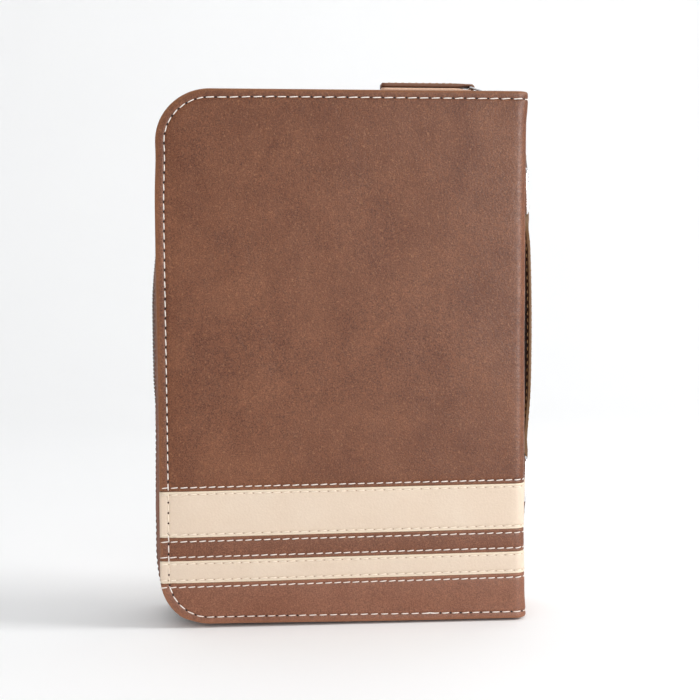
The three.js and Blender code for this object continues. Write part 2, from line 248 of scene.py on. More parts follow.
area_light("key", (1.5, -0.28, 0.95), (0.0, 0.0, 0.05), (0.55, 0.55), 19.0)
area_light("overhead", (0.0, 0.2, 1.9), (0.0, 0.0, 0.0), (1.8, 1.8), 5.6)
area_light("backdrop", (0.0, 0.5, 2.3), (0.0, 1.6, 0.5), (3.0, 0.6), 5.0)
fill = area_light("fill", (-0.2, -2.0, 0.9), (0.0, 0.0, 0.1), (1.5, 1.5), 10.5)
fill.visible_glossy = False
gloss = area_light("gloss_card", (1.1, -1.3, 0.25), (0.06, 0.0, 0.12), (1.0, 1.0), 60.0)
gloss.visible_diffuse = False
low_card = area_light("low_card", (0.15, -0.42, 0.06), (0.0, 0.0, 0.02), (0.9, 0.12), 0.3)
low_card.visible_camera = False

world = bpy.data.worlds.new("studio")
world.use_nodes = True
sky = world.node_tree.nodes["Background"].inputs
sky["Color"].default_value = (0.97, 0.985, 1.0, 1.0)
sky["Strength"].default_value = 0.51
scene.world = world

FLOOR = -1.0
FLOOR_BEND = 700.0
FLOOR_BACK = 900.0
FLOOR_FRONT = -3000.0
FLOOR_HALF_WIDTH = 3500.0
BACKDROP_TOP = 2600.0


def sweep():
    """A pale floor that curves up into a backdrop; the case stands a hair above it."""
    profile = [(FLOOR_FRONT, FLOOR), (FLOOR_BACK, FLOOR)]
    for angle in np.linspace(0.1, math.pi / 2, 14):
        reach, rise = FLOOR_BEND * math.sin(angle), FLOOR_BEND * (1 - math.cos(angle))
        profile.append((FLOOR_BACK + reach, FLOOR + rise))
    profile.append((FLOOR_BACK + FLOOR_BEND, BACKDROP_TOP))
    verts = [(x, y, z) for y, z in profile for x in (-FLOOR_HALF_WIDTH, FLOOR_HALF_WIDTH)]
    faces = [[2 * i, 2 * i + 1, 2 * i + 3, 2 * i + 2] for i in range(len(profile) - 1)]
    return make_object("studio_floor", verts, faces)


# ---------------------------------------------------------------- materials


class Shade:
    """Short calls for building a node material; texture coordinates are millimetres at rest."""

    def __init__(self, name, carried=False):
        self.mat = bpy.data.materials.new(name)
        self.mat.use_nodes = True
        self.tree = self.mat.node_tree
        self.shader = self.tree.nodes["Principled BSDF"]
        if carried:
            place = self.node("ShaderNodeTexCoord").outputs["Object"]
            scaled = self.node("ShaderNodeVectorMath", {0: place, "Scale": 1 / MM}, operation="SCALE")
            self.coords = scaled.outputs[0]
        else:
            self.coords = self.node("ShaderNodeAttribute", attribute_name="rest").outputs["Vector"]

    def feed(self, socket, value):
        """Links a socket to another node's output, or sets it to a number or a colour."""
        if isinstance(value, bpy.types.NodeSocket):
            self.tree.links.new(value, socket)
        elif socket.type == "RGBA":
            socket.default_value = (*value, 1.0)
        else:
            socket.default_value = value

    def node(self, kind, sockets=None, **settings):
        made = self.tree.nodes.new(kind)
        for key, value in settings.items():
            setattr(made, key, value)
        for key, value in (sockets or {}).items():
            self.feed(made.inputs[key], value)
        return made

    def set(self, **sockets):
        for key, value in sockets.items():
            self.shader.inputs[key.replace("_", " ")].default_value = value

    def attribute(self, name):
        return self.node("ShaderNodeAttribute", attribute_name=name).outputs["Fac"]

    def stretched(self, factors):
        sockets = {0: self.coords, 1: factors}
        return self.node("ShaderNodeVectorMath", sockets, operation="MULTIPLY").outputs[0]

    def noise(self, scale, detail=2.0, rough=0.5, distortion=0.0, coords=None):
        sockets = {"Scale": scale, "Detail": detail, "Roughness": rough, "Distortion": distortion}
        sockets["Vector"] = coords or self.coords
        return self.node("ShaderNodeTexNoise", sockets).outputs["Fac"]

    def cells(self, scale):
        sockets = {"Scale": scale, "Vector": self.coords}
        return self.node("ShaderNodeTexVoronoi", sockets).outputs["Distance"]

    def waves(self, scale, direction):
        sockets = {"Scale": scale, "Vector": self.coords}
        return self.node("ShaderNodeTexWave", sockets, bands_direction=direction).outputs["Fac"]

    def range(self, value, low, high, to_low=0.0, to_high=1.0):
        sockets = {"Value": value, "From Min": low, "From Max": high, "To Min": to_low, "To Max": to_high}
        return self.node("ShaderNodeMapRange", sockets).outputs["Result"]

    def math(self, operation, a, b=0.0):
        return self.node("ShaderNodeMath", {0: a, 1: b}, operation=operation).outputs[0]

    def mix(self, factor, a, b, blend="MIX"):
        made = self.node("ShaderNodeMix", data_type="RGBA", blend_type=blend)
        for key, value in (("Factor", factor), ("A", a), ("B", b)):
            self.feed(made.inputs[key], value)
        return made.outputs["Result"]

    def bump(self, height, distance, strength=1.0, below=None):
        sockets = {"Strength": strength, "Distance": distance * MM, "Height": height}
        if below:
            sockets["Normal"] = below
        return self.node("ShaderNodeBump", sockets).outputs["Normal"]

    def colour(self, value):
        self.feed(self.shader.inputs["Base Color"], value)

    def normal(self, value):
        self.feed(self.shader.inputs["Normal"], value)

    def rough(self, value):
        self.feed(self.shader.inputs["Roughness"], value)


def srgb(*levels):
    """Linear colour of an sRGB colour given from 0 to 255."""
    shares = [level / 255 for level in levels]
    return tuple(v / 12.92 if v <= 0.04045 else ((v + 0.055) / 1.055) ** 2.4 for v in shares)


def leather(name, dark, light, speckle, rim, mottle=0.5, rough=0.5, crease=0.5):
    """Grained leather: clouds, fine mottling, creases darkened with painted shade, and a paler rim colour
    along edges that carry the rim attribute.
    """
    s = Shade(name)
    clouds = s.range(s.noise(0.035, 5.0, 0.66, 0.5), 0.34, 0.66)
    base = s.mix(clouds, dark, light)
    patches = s.range(s.noise(0.28, 4.0, 0.62, 0.3), 0.38, 0.66)
    base = s.mix(s.math("MULTIPLY", patches, 0.22 * mottle), base, speckle, "MULTIPLY")
    fine = s.range(s.noise(1.9, 3.0, 0.7, 0.4), 0.38, 0.62, 0.0, 0.95)
    base = s.mix(s.math("MULTIPLY", fine, mottle), base, speckle, "MULTIPLY")
    flecks = s.range(s.noise(1.1, 2.0, 0.6, 0.6), 0.56, 0.68, 0.0, 0.45)
    base = s.mix(s.math("MULTIPLY", flecks, mottle), base, rim)
    folds = s.noise(0.085, 4.0, 0.55, 1.6)
    line = s.range(s.math("ABSOLUTE", s.math("SUBTRACT", folds, 0.5)), 0.0, 0.012, 1.0, 0.0)
    where = s.range(s.noise(0.022, 1.0), 0.52, 0.62)
    creases = s.math("MULTIPLY", line, where)
    # Painted shade: the colour darkens along the crease lines, where shade falls in a crease.
    base = s.mix(s.math("MULTIPLY", creases, 0.35 * crease), base, speckle, "MULTIPLY")
    base = s.mix(s.attribute("rim"), base, rim)
    s.colour(base)
    grain = s.cells(0.95)
    pores = s.noise(2.6, 2.0, 0.6)
    height = s.math("ADD", s.math("MULTIPLY", grain, 0.7), s.math("MULTIPLY", pores, 0.6))
    height = s.math("SUBTRACT", height, s.math("MULTIPLY", creases, 0.8 * crease))
    relief = s.bump(s.noise(0.16, 3.0, 0.55), 0.16, 0.35)
    s.normal(s.bump(height, 0.13, 0.6, relief))
    s.rough(s.range(s.noise(0.5, 3.0), 0.3, 0.7, rough - 0.06, rough + 0.08))
    s.set(Specular_IOR_Level=0.24)
    return s.mat


def thread(name, tone, dark):
    """Twisted thread: slanting strands along each stitch."""
    s = Shade(name)
    strands = s.math("SINE", s.math("MULTIPLY", s.attribute("along"), 9.0))
    s.colour(s.mix(s.range(strands, -1.0, 1.0, 0.0, 0.28), tone, dark))
    s.normal(s.bump(s.math("ADD", strands, s.noise(6.0, 2.0)), 0.05, 0.6))
    s.set(Roughness=0.62, Sheen_Weight=0.15)
    return s.mat


# Painted shade: a needle hole's disc takes a dark colour that stands in for the shade inside the hole.
def hole_shade_material(name, tone):
    s = Shade(name)
    s.colour(s.mix(s.noise(3.0), tone, tuple(0.55 * c for c in tone)))
    s.set(Roughness=0.9)
    return s.mat


PORES = (0.43, 0.41, 0.41)
brown = leather("brown_leather", srgb(123, 71, 44), srgb(143, 89, 59), PORES, srgb(158, 108, 74), 1.0, 0.45)
# Painted light: the middle band and the lower panel get lighter copies of the brown leather. The copies step
# up towards the foot, where light from the floor brightens the case.
middle_brown_painted_light = leather(
    "brown_leather_of_middle_band", srgb(134, 83, 58), srgb(147, 94, 68), PORES, srgb(162, 112, 82),
    1.0, 0.45,
)
lower_brown_painted_light = leather(
    "brown_leather_of_lower_panel", srgb(144, 91, 67), srgb(155, 102, 77), PORES, srgb(170, 119, 88),
    0.8, 0.45,
)
cream = leather(
    "cream_leather", srgb(223, 202, 181), srgb(226, 207, 187), (0.92, 0.90, 0.87), srgb(236, 220, 195),
    0.5, 0.45, 0.1,
)
LEATHERS = {
    "lower_panel": lower_brown_painted_light,
    "narrow_stripe": cream,
    "middle_band": middle_brown_painted_light,
    "wide_stripe": cream,
    "upper_panel": brown,
}
white_thread = thread("white_thread", srgb(246, 237, 228), srgb(206, 189, 174))
cream_thread = thread("cream_thread", srgb(243, 227, 207), srgb(222, 203, 180))
# Painted shade for the needle holes on brown, on cream and at the edge over cream.
painted_hole_shade = hole_shade_material("needle_hole", srgb(22, 11, 8))
painted_hole_shade_in_cream = hole_shade_material("needle_hole_in_cream", srgb(190, 158, 130))
painted_hole_shade_at_edge = hole_shade_material("needle_hole_at_edge", srgb(72, 40, 26))

floor = sweep()
floor_shade = Shade("studio_floor")
floor_shade.colour(floor_shade.mix(floor_shade.noise(0.004), (0.92,) * 3, (0.94,) * 3))
floor_shade.set(Roughness=0.85, Specular_IOR_Level=0.1)
floor.data.materials.append(floor_shade.mat)


# ---------------------------------------------------------------- cover leather


def edge_distance(s, z):
    """Distance inwards from the cover's outline at the head, the fore-edge and the foot."""
    if s < LEFT + CORNER and z < CORNER:
        return CORNER - math.hypot(s - LEFT - CORNER, z - CORNER)
    if s < LEFT + TOP_CORNER and z > TOP_EDGE - TOP_CORNER:
        return TOP_CORNER - math.hypot(s - LEFT - TOP_CORNER, z - TOP_EDGE + TOP_CORNER)
    return min(s - LEFT, z, TOP_EDGE - z)


def stitch_inset(s, z):
    """Distance of the stitch line from the outline: closer at the head, and at the foot's spine end."""
    if z > TOP_EDGE - TOP_CORNER:
        return EDGE_STITCH - 0.45 * smooth_step(LEFT + TOP_CORNER, LEFT + TOP_CORNER + 30, s)
    if z < CORNER:
        return EDGE_STITCH - 0.8 * smooth_step(LEFT + CORNER, RIGHT, s)
    return EDGE_STITCH


def seam_height(index, s):
    """Height of the seam above panel index, along the cover and flat across the spine."""
    if index < 0:
        return 0.0
    if index >= len(SEAM_LEFT):
        return TOP_EDGE
    share = (min(s, RIGHT) - LEFT) / (RIGHT - LEFT)
    return SEAM_LEFT[index] + (SEAM_RIGHT[index] - SEAM_LEFT[index]) * share


def panel_at(s, z):
    for index in range(len(SEAM_LEFT)):
        if z < seam_height(index, s):
            return index
    return len(SEAM_LEFT)


def is_cream(index):
    return index in (1, 3)


def perimeter(columns, top, top_corner):
    """Stations along the outline, foot to head: place, inward direction."""
    foot, head = LEFT + CORNER, LEFT + top_corner
    turns = [(math.cos(a), math.sin(a)) for a in np.linspace(0, math.pi / 2, 26)]
    stations = [(s, 0.0, 0.0, 1.0) for s in reversed(columns) if s > foot]
    stations += [(foot - CORNER * n, CORNER - CORNER * c, n, c) for c, n in turns]
    stations += [(LEFT, float(z), 1.0, 0.0) for z in np.linspace(CORNER, top - top_corner, 84)[1:-1]]
    stations += [
        (head - top_corner * c, top - top_corner + top_corner * n, c, -n) for c, n in turns
    ]
    return stations + [(s, top, 0.0, -1.0) for s in columns if s > head]


def seam_end(index):
    """Where a seam meets the outline at the fore-edge, and the direction inwards there."""
    s = LEFT
    for _ in range(12):
        z = seam_height(index, s)
        s = LEFT if z >= CORNER else LEFT + CORNER - math.sqrt(CORNER**2 - (CORNER - z) ** 2)
    if z >= CORNER:
        return (s, z, 1.0, 0.0)
    return (s, z, (LEFT + CORNER - s) / CORNER, (CORNER - z) / CORNER)


def cover_height(wrap, s, z, index):
    """Height of the leather over the cover's flat face."""
    edge = edge_distance(s, z)
    h = -drop(edge, EDGE_ROUND)
    h -= 0.30 * bell(edge - stitch_inset(s, z), 0.6)
    h += 0.30 * smooth_step(EDGE_STITCH, EDGE_STITCH + 9, edge)
    row = ROW_ON_CREAM if is_cream(index) else ROW_ON_BROWN
    for seam, sign in ((index - 1, 1), (index, -1)):
        if 0 <= seam < len(SEAM_LEFT):
            away = sign * (z - seam_height(seam, s))
            h -= drop(away, SEAM_ROUND)
            h -= 0.22 * bell(away - row, 0.5)
            h -= 0.12 * smooth_step(6, 0, away)
    calm = smooth_step(wrap.middle, wrap.middle - 8, s)
    swell = noise.noise(Vector((s, wrap.side * 70, z)) * 0.021) * 0.35
    swell += noise.noise(Vector((s, wrap.side * 30, z)) * 0.075) * 0.10
    return h + swell * calm * smooth_step(0, 9, edge)


def rim_tone(s, z, index):
    """How much the pale rim colour shows: along seams and on the turned edge."""
    tone = 0.0
    for seam, sign in ((index - 1, 1), (index, -1)):
        if 0 <= seam < len(SEAM_LEFT):
            tone = max(tone, bell(sign * (z - seam_height(seam, s)), 0.8))
    if is_cream(index):
        return tone
    return max(0.25 * tone, 0.5 * bell(edge_distance(s, z), 1.4))


GRID_STEP = 2.6
RINGS = [0.2, 0.5, 0.9, 1.3, 2.0, 2.9, 3.5, 3.9, 4.2, 4.5, 4.9, 5.6, 6.6]
SEAM_LINES = [0.12, 0.3, 0.55, 0.95, 1.3, 1.6, 1.85, 2.15, 2.6, 3.3]
LIP = [(0.0, -2.2), (0.0, -3.2), (0.05, -3.9), (0.35, -4.4), (1.0, INNER), (3.2, INNER)]


def panel_outline(wrap, index, columns, outline):
    """The panel's part of the outline, and its whole loop: outline, upper seam, mid-spine, lower seam."""
    low, high = index - 1, index
    has_low, has_high = low >= 0, high < len(SEAM_LEFT)
    walk = [seam_end(low)] if has_low else []
    walk += [
        p
        for p in outline
        if (not has_low or p[1] > seam_height(low, p[0]) + 0.3)
        and (not has_high or p[1] < seam_height(high, p[0]) - 0.3)
    ]
    walk += [seam_end(high)] if has_high else []
    loop = [(p[0], p[1]) for p in walk]
    if has_high:
        loop += [(s, seam_height(high, s)) for s in columns if s > walk[-1][0] + 0.4]
    bottom, top = seam_height(low, wrap.middle), seam_height(high, wrap.middle)
    rows = np.linspace(top, bottom, max(2, round((top - bottom) / 3)))[1:-1]
    loop += [(wrap.middle, float(z)) for z in rows]
    if has_low:
        loop += [(s, seam_height(low, s)) for s in reversed(columns) if s > walk[0][0] + 0.4]
    return walk, loop


def panel_places(index, columns, outline):
    """Places inside the panel: close lines along the outline and the seams, a grid between them."""
    low, high = index - 1, index
    has_low, has_high = low >= 0, high < len(SEAM_LEFT)

    def inside(s, z, margin):
        return (
            edge_distance(s, z) >= margin
            and z - seam_height(low, s) >= (margin if has_low else -1e-6)
            and seam_height(high, s) - z >= (margin if has_high else -1e-6)
        )

    rings = [(s + n * ring, z + c * ring) for ring in RINGS for s, z, n, c in outline]
    places = [place for place in rings if inside(*place, 0.08)]
    for s in columns[1:-1]:
        bottom, top = seam_height(low, s), seam_height(high, s)
        if has_low:
            places += [(s, bottom + e) for e in SEAM_LINES if edge_distance(s, bottom + e) > 0.1]
        if has_high:
            places += [(s, top - e) for e in SEAM_LINES if edge_distance(s, top - e) > 0.1]
        first = bottom + (SEAM_LINES[-1] if has_low else RINGS[-1])
        last = top - (SEAM_LINES[-1] if has_high else RINGS[-1])
        for z in np.linspace(first, last, max(2, round((last - first) / GRID_STEP)))[1:-1]:
            if edge_distance(s, z) > RINGS[-1] + 0.8:
                places.append((s, float(z)))
    return places


def cover_panel(wrap, index):
    """Points, faces and rim tones of one panel of leather from the fore-edge to mid-spine."""
    columns = wrap.columns(LEFT, GRID_STEP)
    outline = perimeter(columns, TOP_EDGE, TOP_CORNER)
    walk, loop = panel_outline(wrap, index, columns, outline)
    points = loop + panel_places(index, columns, outline)
    bounds = [(i, (i + 1) % len(loop)) for i in range(len(loop))]
    flat, _, faces, origins, _, _ = delaunay_2d_cdt([Vector(p) for p in points], bounds, [], 1, 1e-4)
    verts = [wrap.place(s, z, cover_height(wrap, s, z, index)) for s, z in flat]
    tones = [rim_tone(s, z, index) for s, z in flat]
    found = {old: new for new, olds in enumerate(origins) for old in olds}
    faces = [list(f) for f in faces]
    previous = [found[i] for i in range(len(walk))]
    for inset, depth in LIP:
        current = list(range(len(verts), len(verts) + len(walk)))
        verts += [wrap.place(s + n * inset, z + c * inset, depth) for s, z, n, c in walk]
        tones += [0.0 if is_cream(index) else 0.3] * len(walk)
        for i in range(len(walk) - 1):
            faces.append([previous[i], previous[i + 1], current[i + 1], current[i]])
        previous = current
    for seam in (index, index - 1):
        if 0 <= seam < len(SEAM_LEFT):
            chain = [i for i, (s, z) in enumerate(loop) if abs(z - seam_height(seam, s)) < 1e-3]
            chain.sort(key=lambda i: loop[i][0])
            first = len(verts)
            verts += [wrap.place(*loop[i], SEAM_DEPTH) for i in chain]
            tones += [0.0] * len(chain)
            for k in range(len(chain) - 1):
                a, b = found[chain[k]], found[chain[k + 1]]
                faces.append([a, b, first + k + 1, first + k])
    return verts, faces, tones


def face_outwards(piece):
    """Makes the faces of one open sheet agree."""
    work = bmesh.new()
    work.from_mesh(piece.data)
    bmesh.ops.recalc_face_normals(work, faces=work.faces)
    work.to_mesh(piece.data)
    work.free()


HALVES = {"back": -1, "front": 1}


def blend_fold(piece, half):
    """Bakes a piece's placement into its mesh, in either half; it bends nothing."""
    if half == "back":
        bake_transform(piece)
    else:
        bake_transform(piece)


for half, side in HALVES.items():
    wrap = Wrap(side, RIGHT, FACE, FOLD_RADIUS, settled=True)
    for index, panel in enumerate(PANELS):
        verts, faces, tones = cover_panel(wrap, index)
        piece = make_object(f"{half}_{panel}_leather", verts, faces, {"rim": tones})
        face_outwards(piece)
        slot = "cream_leather" if is_cream(index) else "brown_leather"
        finish_piece(piece, LEATHERS[panel], [f"{half}_{panel}", f"spine_{panel}"])
        blend_fold(piece, half)


# ---------------------------------------------------------------- stitching


def add_stitch(batch, wrap, s, z, ds, dz, length, radius, height, dip=0.45):
    """One stitch: a short rounded thread whose ends go down into the leather."""
    sides, sections = 6, 8
    verts, along = [], []
    for k in range(sections + 1):
        u = 2 * k / sections - 1
        thick = radius * math.sqrt(max(1 - abs(u) ** 3.5, 0.02))
        rise = height - dip * abs(u) ** 3
        for j in range(sides):
            angle = 2 * math.pi * j / sides
            across = thick * math.cos(angle)
            up = rise + 0.8 * thick * math.sin(angle)
            place_s = s + u * length / 2 * ds - across * dz
            place_z = z + u * length / 2 * dz + across * ds
            verts.append(wrap.place(place_s, place_z, up))
            along.append(u * length / 2 + across * 0.8)
    batch.add(verts, tube_faces(sections + 1, sides), along)


def add_hole(batch, wrap, s, z, radius, height):
    """A small dimple where the needle went in; its dark colour is painted shade in the hole."""
    sides = 8
    verts = [wrap.place(s, z, height - 0.02)]
    for j in range(sides):
        angle = 2 * math.pi * j / sides
        verts.append(wrap.place(s + radius * math.cos(angle), z + radius * math.sin(angle), height + 0.05))
    faces = [[0, 1 + j, 1 + (j + 1) % sides] for j in range(sides)]
    batch.add(verts, faces)


def outline_run(wrap):
    """The stitch line round the cover: a function of length, and its whole length."""
    low = CORNER - EDGE_STITCH
    high = TOP_CORNER - EDGE_STITCH
    low_straight = wrap.middle - LEFT - CORNER
    high_straight = wrap.middle - LEFT - TOP_CORNER
    upright = TOP_EDGE - CORNER - TOP_CORNER

    def at(length):
        if length < low_straight:
            s = wrap.middle - length
            return (s, stitch_inset(s, 0.0), -1.0, 0.0)
        length -= low_straight
        if length < low * math.pi / 2:
            a = length / low
            c, n = math.cos(a), math.sin(a)
            return (LEFT + CORNER - low * n, CORNER - low * c, -c, n)
        length -= low * math.pi / 2
        if length < upright:
            return (LEFT + EDGE_STITCH, CORNER + length, 0.0, 1.0)
        length -= upright
        if length < high * math.pi / 2:
            a = length / high
            c, n = math.cos(a), math.sin(a)
            return (LEFT + TOP_CORNER - high * c, TOP_EDGE - TOP_CORNER + high * n, n, c)
        length -= high * math.pi / 2
        s = LEFT + TOP_CORNER + length
        return (s, TOP_EDGE - stitch_inset(s, TOP_EDGE), 1.0, 0.0)

    return at, low_straight + high_straight + upright + (low + high) * math.pi / 2


def jitter(seed, amount):
    return noise.noise(Vector((seed * 1.37, 4.1, 7.7))) * amount


BACK_TACK = 36.5
SHUT_HOLES = (5.0, 31.0)
WHITE_RADIUS = 0.27
THREAD_RISE = 0.25
STITCH_GAP = 0.95
FIRST_STITCH = 2.4
SIDE_RUN = 190.0
EDGE_PITCHES = (4.9, 4.5, 5.5)
SEAM_PITCH = 4.42


def evenly(start, end, pitch):
    """Lengths from start to end, about a pitch apart, and the pitch that fits exactly."""
    count = max(1, round((end - start) / pitch))
    exact = (end - start) / count
    return [start + exact * k for k in range(count)], exact


def sew_edge(wrap, rows):
    """The stitches and needle holes round the cover, and the doubled stitches at its foot."""
    at, total = outline_run(wrap)
    top_start = total - (wrap.middle - LEFT - TOP_CORNER)
    run = []
    ends = [FIRST_STITCH, top_start - SIDE_RUN, top_start, total + 0.3]
    for start, end, about in zip(ends, ends[1:], EDGE_PITCHES):
        lengths, pitch = evenly(start, end, about)
        run += [(length, pitch) for length in lengths]
    for count, (length, pitch) in enumerate(run):
        s, z, ds, dz = at(length)
        index = panel_at(s, z)
        h = cover_height(wrap, s, z, index) + THREAD_RISE
        slant = math.radians(3 + jitter(count, 4))
        c, n = math.cos(slant), math.sin(slant)
        dash = pitch - STITCH_GAP + jitter(count + 50, 0.3)
        batch = rows["cream_stitching" if is_cream(index) else "white_stitching"]
        add_stitch(batch, wrap, s, z, ds * c - dz * n, dz * c + ds * n, dash, WHITE_RADIUS, h)
        s, z, _, _ = at(length + pitch / 2)
        index = panel_at(s, z)
        seam_near = min(abs(z - seam_height(k, s)) for k in range(len(SEAM_LEFT)))
        if seam_near > 0.5 and s < wrap.middle - 0.6:
            shut = z < CORNER and abs(s - SHUT_HOLES[0]) < SHUT_HOLES[1]
            batch = rows["edge_needle_holes" if is_cream(index) else "needle_holes"]
            add_hole(batch, wrap, s, z, 0.24 if shut else 0.48, cover_height(wrap, s, z, index) + 0.1)
    for k, dz in enumerate((0.08, -0.1)):
        s = BACK_TACK + 2.2 * k
        z = stitch_inset(s, 0.0) + 0.1
        h = cover_height(wrap, s, z, 0) + 0.4
        add_stitch(rows["white_stitching"], wrap, s, z, 1.0, dz, 3.0, 0.33, h)


def sew_seam(wrap, rows, seam, sign):
    """The row of stitches above (sign 1) or below (sign -1) a seam."""
    index = seam + 1 if sign > 0 else seam
    row = ROW_ON_CREAM if is_cream(index) else ROW_ON_BROWN
    slope = math.atan((SEAM_RIGHT[seam] - SEAM_LEFT[seam]) / (RIGHT - LEFT))
    for s in evenly(seam_end(seam)[0] + 1.6 + 0.4 * seam, wrap.middle + 0.2, SEAM_PITCH)[0]:
        z = seam_height(seam, s) + sign * row
        if edge_distance(s, z) < 1.2:
            continue
        h = cover_height(wrap, s, z, index)
        tilt = slope + math.radians(4.5 + jitter(s, 3))
        c, n = math.cos(tilt), math.sin(tilt)
        if is_cream(index):
            add_stitch(rows["cream_stitching"], wrap, s, z, c, n, 3.4, 0.30, h + 0.24)
            add_hole(rows["needle_holes_in_cream"], wrap, s + 2.2, z + 0.02, 0.29, h + 0.1)
        else:
            add_stitch(rows["white_stitching"], wrap, s, z, c, n, 3.85, WHITE_RADIUS, h + THREAD_RISE)
            add_hole(rows["needle_holes"], wrap, s + 2.2, z + 0.02, 0.17, h + 0.06)


STITCHING = {
    "white_stitching": white_thread,
    "cream_stitching": cream_thread,
    "needle_holes": painted_hole_shade,
    "needle_holes_in_cream": painted_hole_shade_in_cream,
    "edge_needle_holes": painted_hole_shade_at_edge,
}


def stitch_half(half, side):
    wrap = Wrap(side, RIGHT, FACE, FOLD_RADIUS, settled=True)
    rows = {name: Batch() for name in STITCHING}
    sew_edge(wrap, rows)
    for seam in range(len(SEAM_LEFT)):
        for sign in (1, -1):
            sew_seam(wrap, rows, seam, sign)
    for name, mat in STITCHING.items():
        piece = finish_piece(rows[name].make(f"{half}_{name}"), mat)
        blend_fold(piece, half)


for half, side in HALVES.items():
    stitch_half(half, side)

# ---------------------------------------------------------------- gusset, tape and coil of the zipper

ZIP_END = low_of("spine_lining").x - 0.2
GUSSET_FAR = 20.3


def bulge(z):
    """How far the gusset is pushed outwards in the middle, by height on the fore-edge."""
    full = 4.75 - 0.42 * bell(z - 98, 26)
    return full * smooth_step(2, 36, z) * (1 - smooth_step(150, 212, z))


def zip_place(station, side, away, inset):
    s, z, n, c = station
    crown = max(0.0, 1 - (away / GUSSET_FAR) ** 2) ** 0.6
    out = inset - bulge(z) * crown
    return (s + n * out, side * away, z + c * out)


ZIP_COLUMNS = [float(s) for s in np.linspace(LEFT + CORNER - 1, ZIP_END, 62)]
ZIP_STATIONS = perimeter(ZIP_COLUMNS, TOP, CORNER)


def zip_station(length):
    """The station at a length along the zipper, from the foot of the spine."""
    share = np.interp(length, ZIP_LENGTHS, np.arange(len(ZIP_STATIONS)))
    low = min(int(share), len(ZIP_STATIONS) - 2)
    part = share - low
    return tuple(a + (b - a) * part for a, b in zip(ZIP_STATIONS[low], ZIP_STATIONS[low + 1]))


steps = [math.hypot(b[0] - a[0], b[1] - a[1]) for a, b in zip(ZIP_STATIONS, ZIP_STATIONS[1:])]
ZIP_LENGTHS = np.concatenate([[0.0], np.cumsum(steps)])


def zip_band(name, side, profile, wobble):
    """A closed band that follows the zipper; the profile is (distance from y = 0, inset)."""
    verts = []
    for station in ZIP_STATIONS:
        for away, inset in profile:
            sway = noise.noise(Vector((station[0], station[1], side * 40 + away * 0.6)) * 0.07) * wobble
            sway += coil_recess(station[1]) * smooth_step(9.0, 3.4, away)
            verts.append(zip_place(station, side, away, inset + sway))
    piece = make_object(name, verts, tube_faces(len(ZIP_STATIONS), len(profile)))
    face_outwards(piece)
    return piece


def coil_recess(z):
    """Below the middle of the fore-edge the coil sits behind the gusset."""
    return 0.8 * (1 - smooth_step(98, 118, z)) * smooth_step(2, 16, z) + 0.8 * bell(z - 26, 15)


GUSSET_PROFILE = [
    (20.3, 2.3), (19.0, 2.05), (17.4, 2.0), (15.8, 2.0), (14.5, 1.95), (13.7, 1.95), (13.25, 2.1),
    (13.05, 2.5), (13.25, 2.95), (14.5, 3.1), (17.4, 3.15), (20.3, 3.2),
]
TAPE_PROFILE = [
    (13.6, 2.55), (10.0, 2.5), (6.5, 2.45), (3.3, 2.4), (3.3, 3.0), (6.5, 3.05), (10.0, 3.05), (13.6, 3.05),
]
COIL_PATH = [
    (3.4, 0.1), (2.2, 0.5), (1.1, 0.62), (0.5, 0.35), (0.42, 0.0), (0.55, -0.35), (1.2, -0.55), (3.2, -0.45),
]
COIL_WIRE = 0.44
COIL_INSET = 2.75
COIL_PITCH = 1.8


def add_tube(batch, path, radius, sides=6):
    """A closed round tube along points."""
    points = [Vector(p) for p in path]
    verts, along = [], []
    run = 0.0
    normal = None
    for i, point in enumerate(points):
        ahead = points[min(i + 1, len(points) - 1)] - points[max(i - 1, 0)]
        ahead.normalize()
        if normal is None:
            normal = ahead.orthogonal().normalized()
        normal = (normal - ahead * normal.dot(ahead)).normalized()
        across = ahead.cross(normal)
        for j in range(sides):
            angle = 2 * math.pi * j / sides
            offset = normal * math.cos(angle) + across * math.sin(angle)
            verts.append(tuple(point + offset * radius))
            along.append(run)
        if i + 1 < len(points):
            run += (points[i + 1] - point).length
    batch.add(verts, tube_faces(len(points), sides), along)


def zip_coil(name, side):
    """The coil on one tape: a row of bent elements, half a pitch out of step with the other."""
    batch = Batch()
    length = 1.5 + (0.5 * COIL_PITCH if side > 0 else 0.0)
    while length < ZIP_LENGTHS[-1] - 1.5:
        path = []
        for k, (away, out) in enumerate(COIL_PATH):
            station = zip_station(length + (k - 3.5) * 0.09)
            path.append(zip_place(station, side, away, COIL_INSET - out + coil_recess(station[1])))
        add_tube(batch, path, COIL_WIRE)
        length += COIL_PITCH
    return batch.make(name)


# Painted light: the gusset's brown is raised above the cover's so that its side, turned away from the key
# light, reads as bright as the cover. The zipper end tabs share it.
gusset_painted_lighter = leather(
    "gusset_leather", srgb(140, 92, 70), srgb(150, 100, 77), (0.55, 0.50, 0.48), srgb(150, 104, 80),
    0.8, 0.5, 0.8,
)

woven = Shade("woven_tape")
weave = woven.math("MULTIPLY", woven.waves(1.6, "DIAGONAL"), woven.waves(1.9, "Y"))
woven.colour(woven.mix(weave, srgb(74, 46, 33), srgb(104, 70, 52)))
woven.normal(woven.bump(weave, 0.12, 0.7))
woven.set(Roughness=0.85, Sheen_Weight=0.2)

coil_shade = Shade("zipper_coil")
coil_shade.colour(coil_shade.mix(coil_shade.noise(0.8, 2.0), srgb(84, 55, 42), srgb(104, 72, 56)))
coil_shade.normal(coil_shade.bump(coil_shade.noise(5.0, 2.0), 0.02, 0.4))
coil_shade.set(Roughness=0.38)

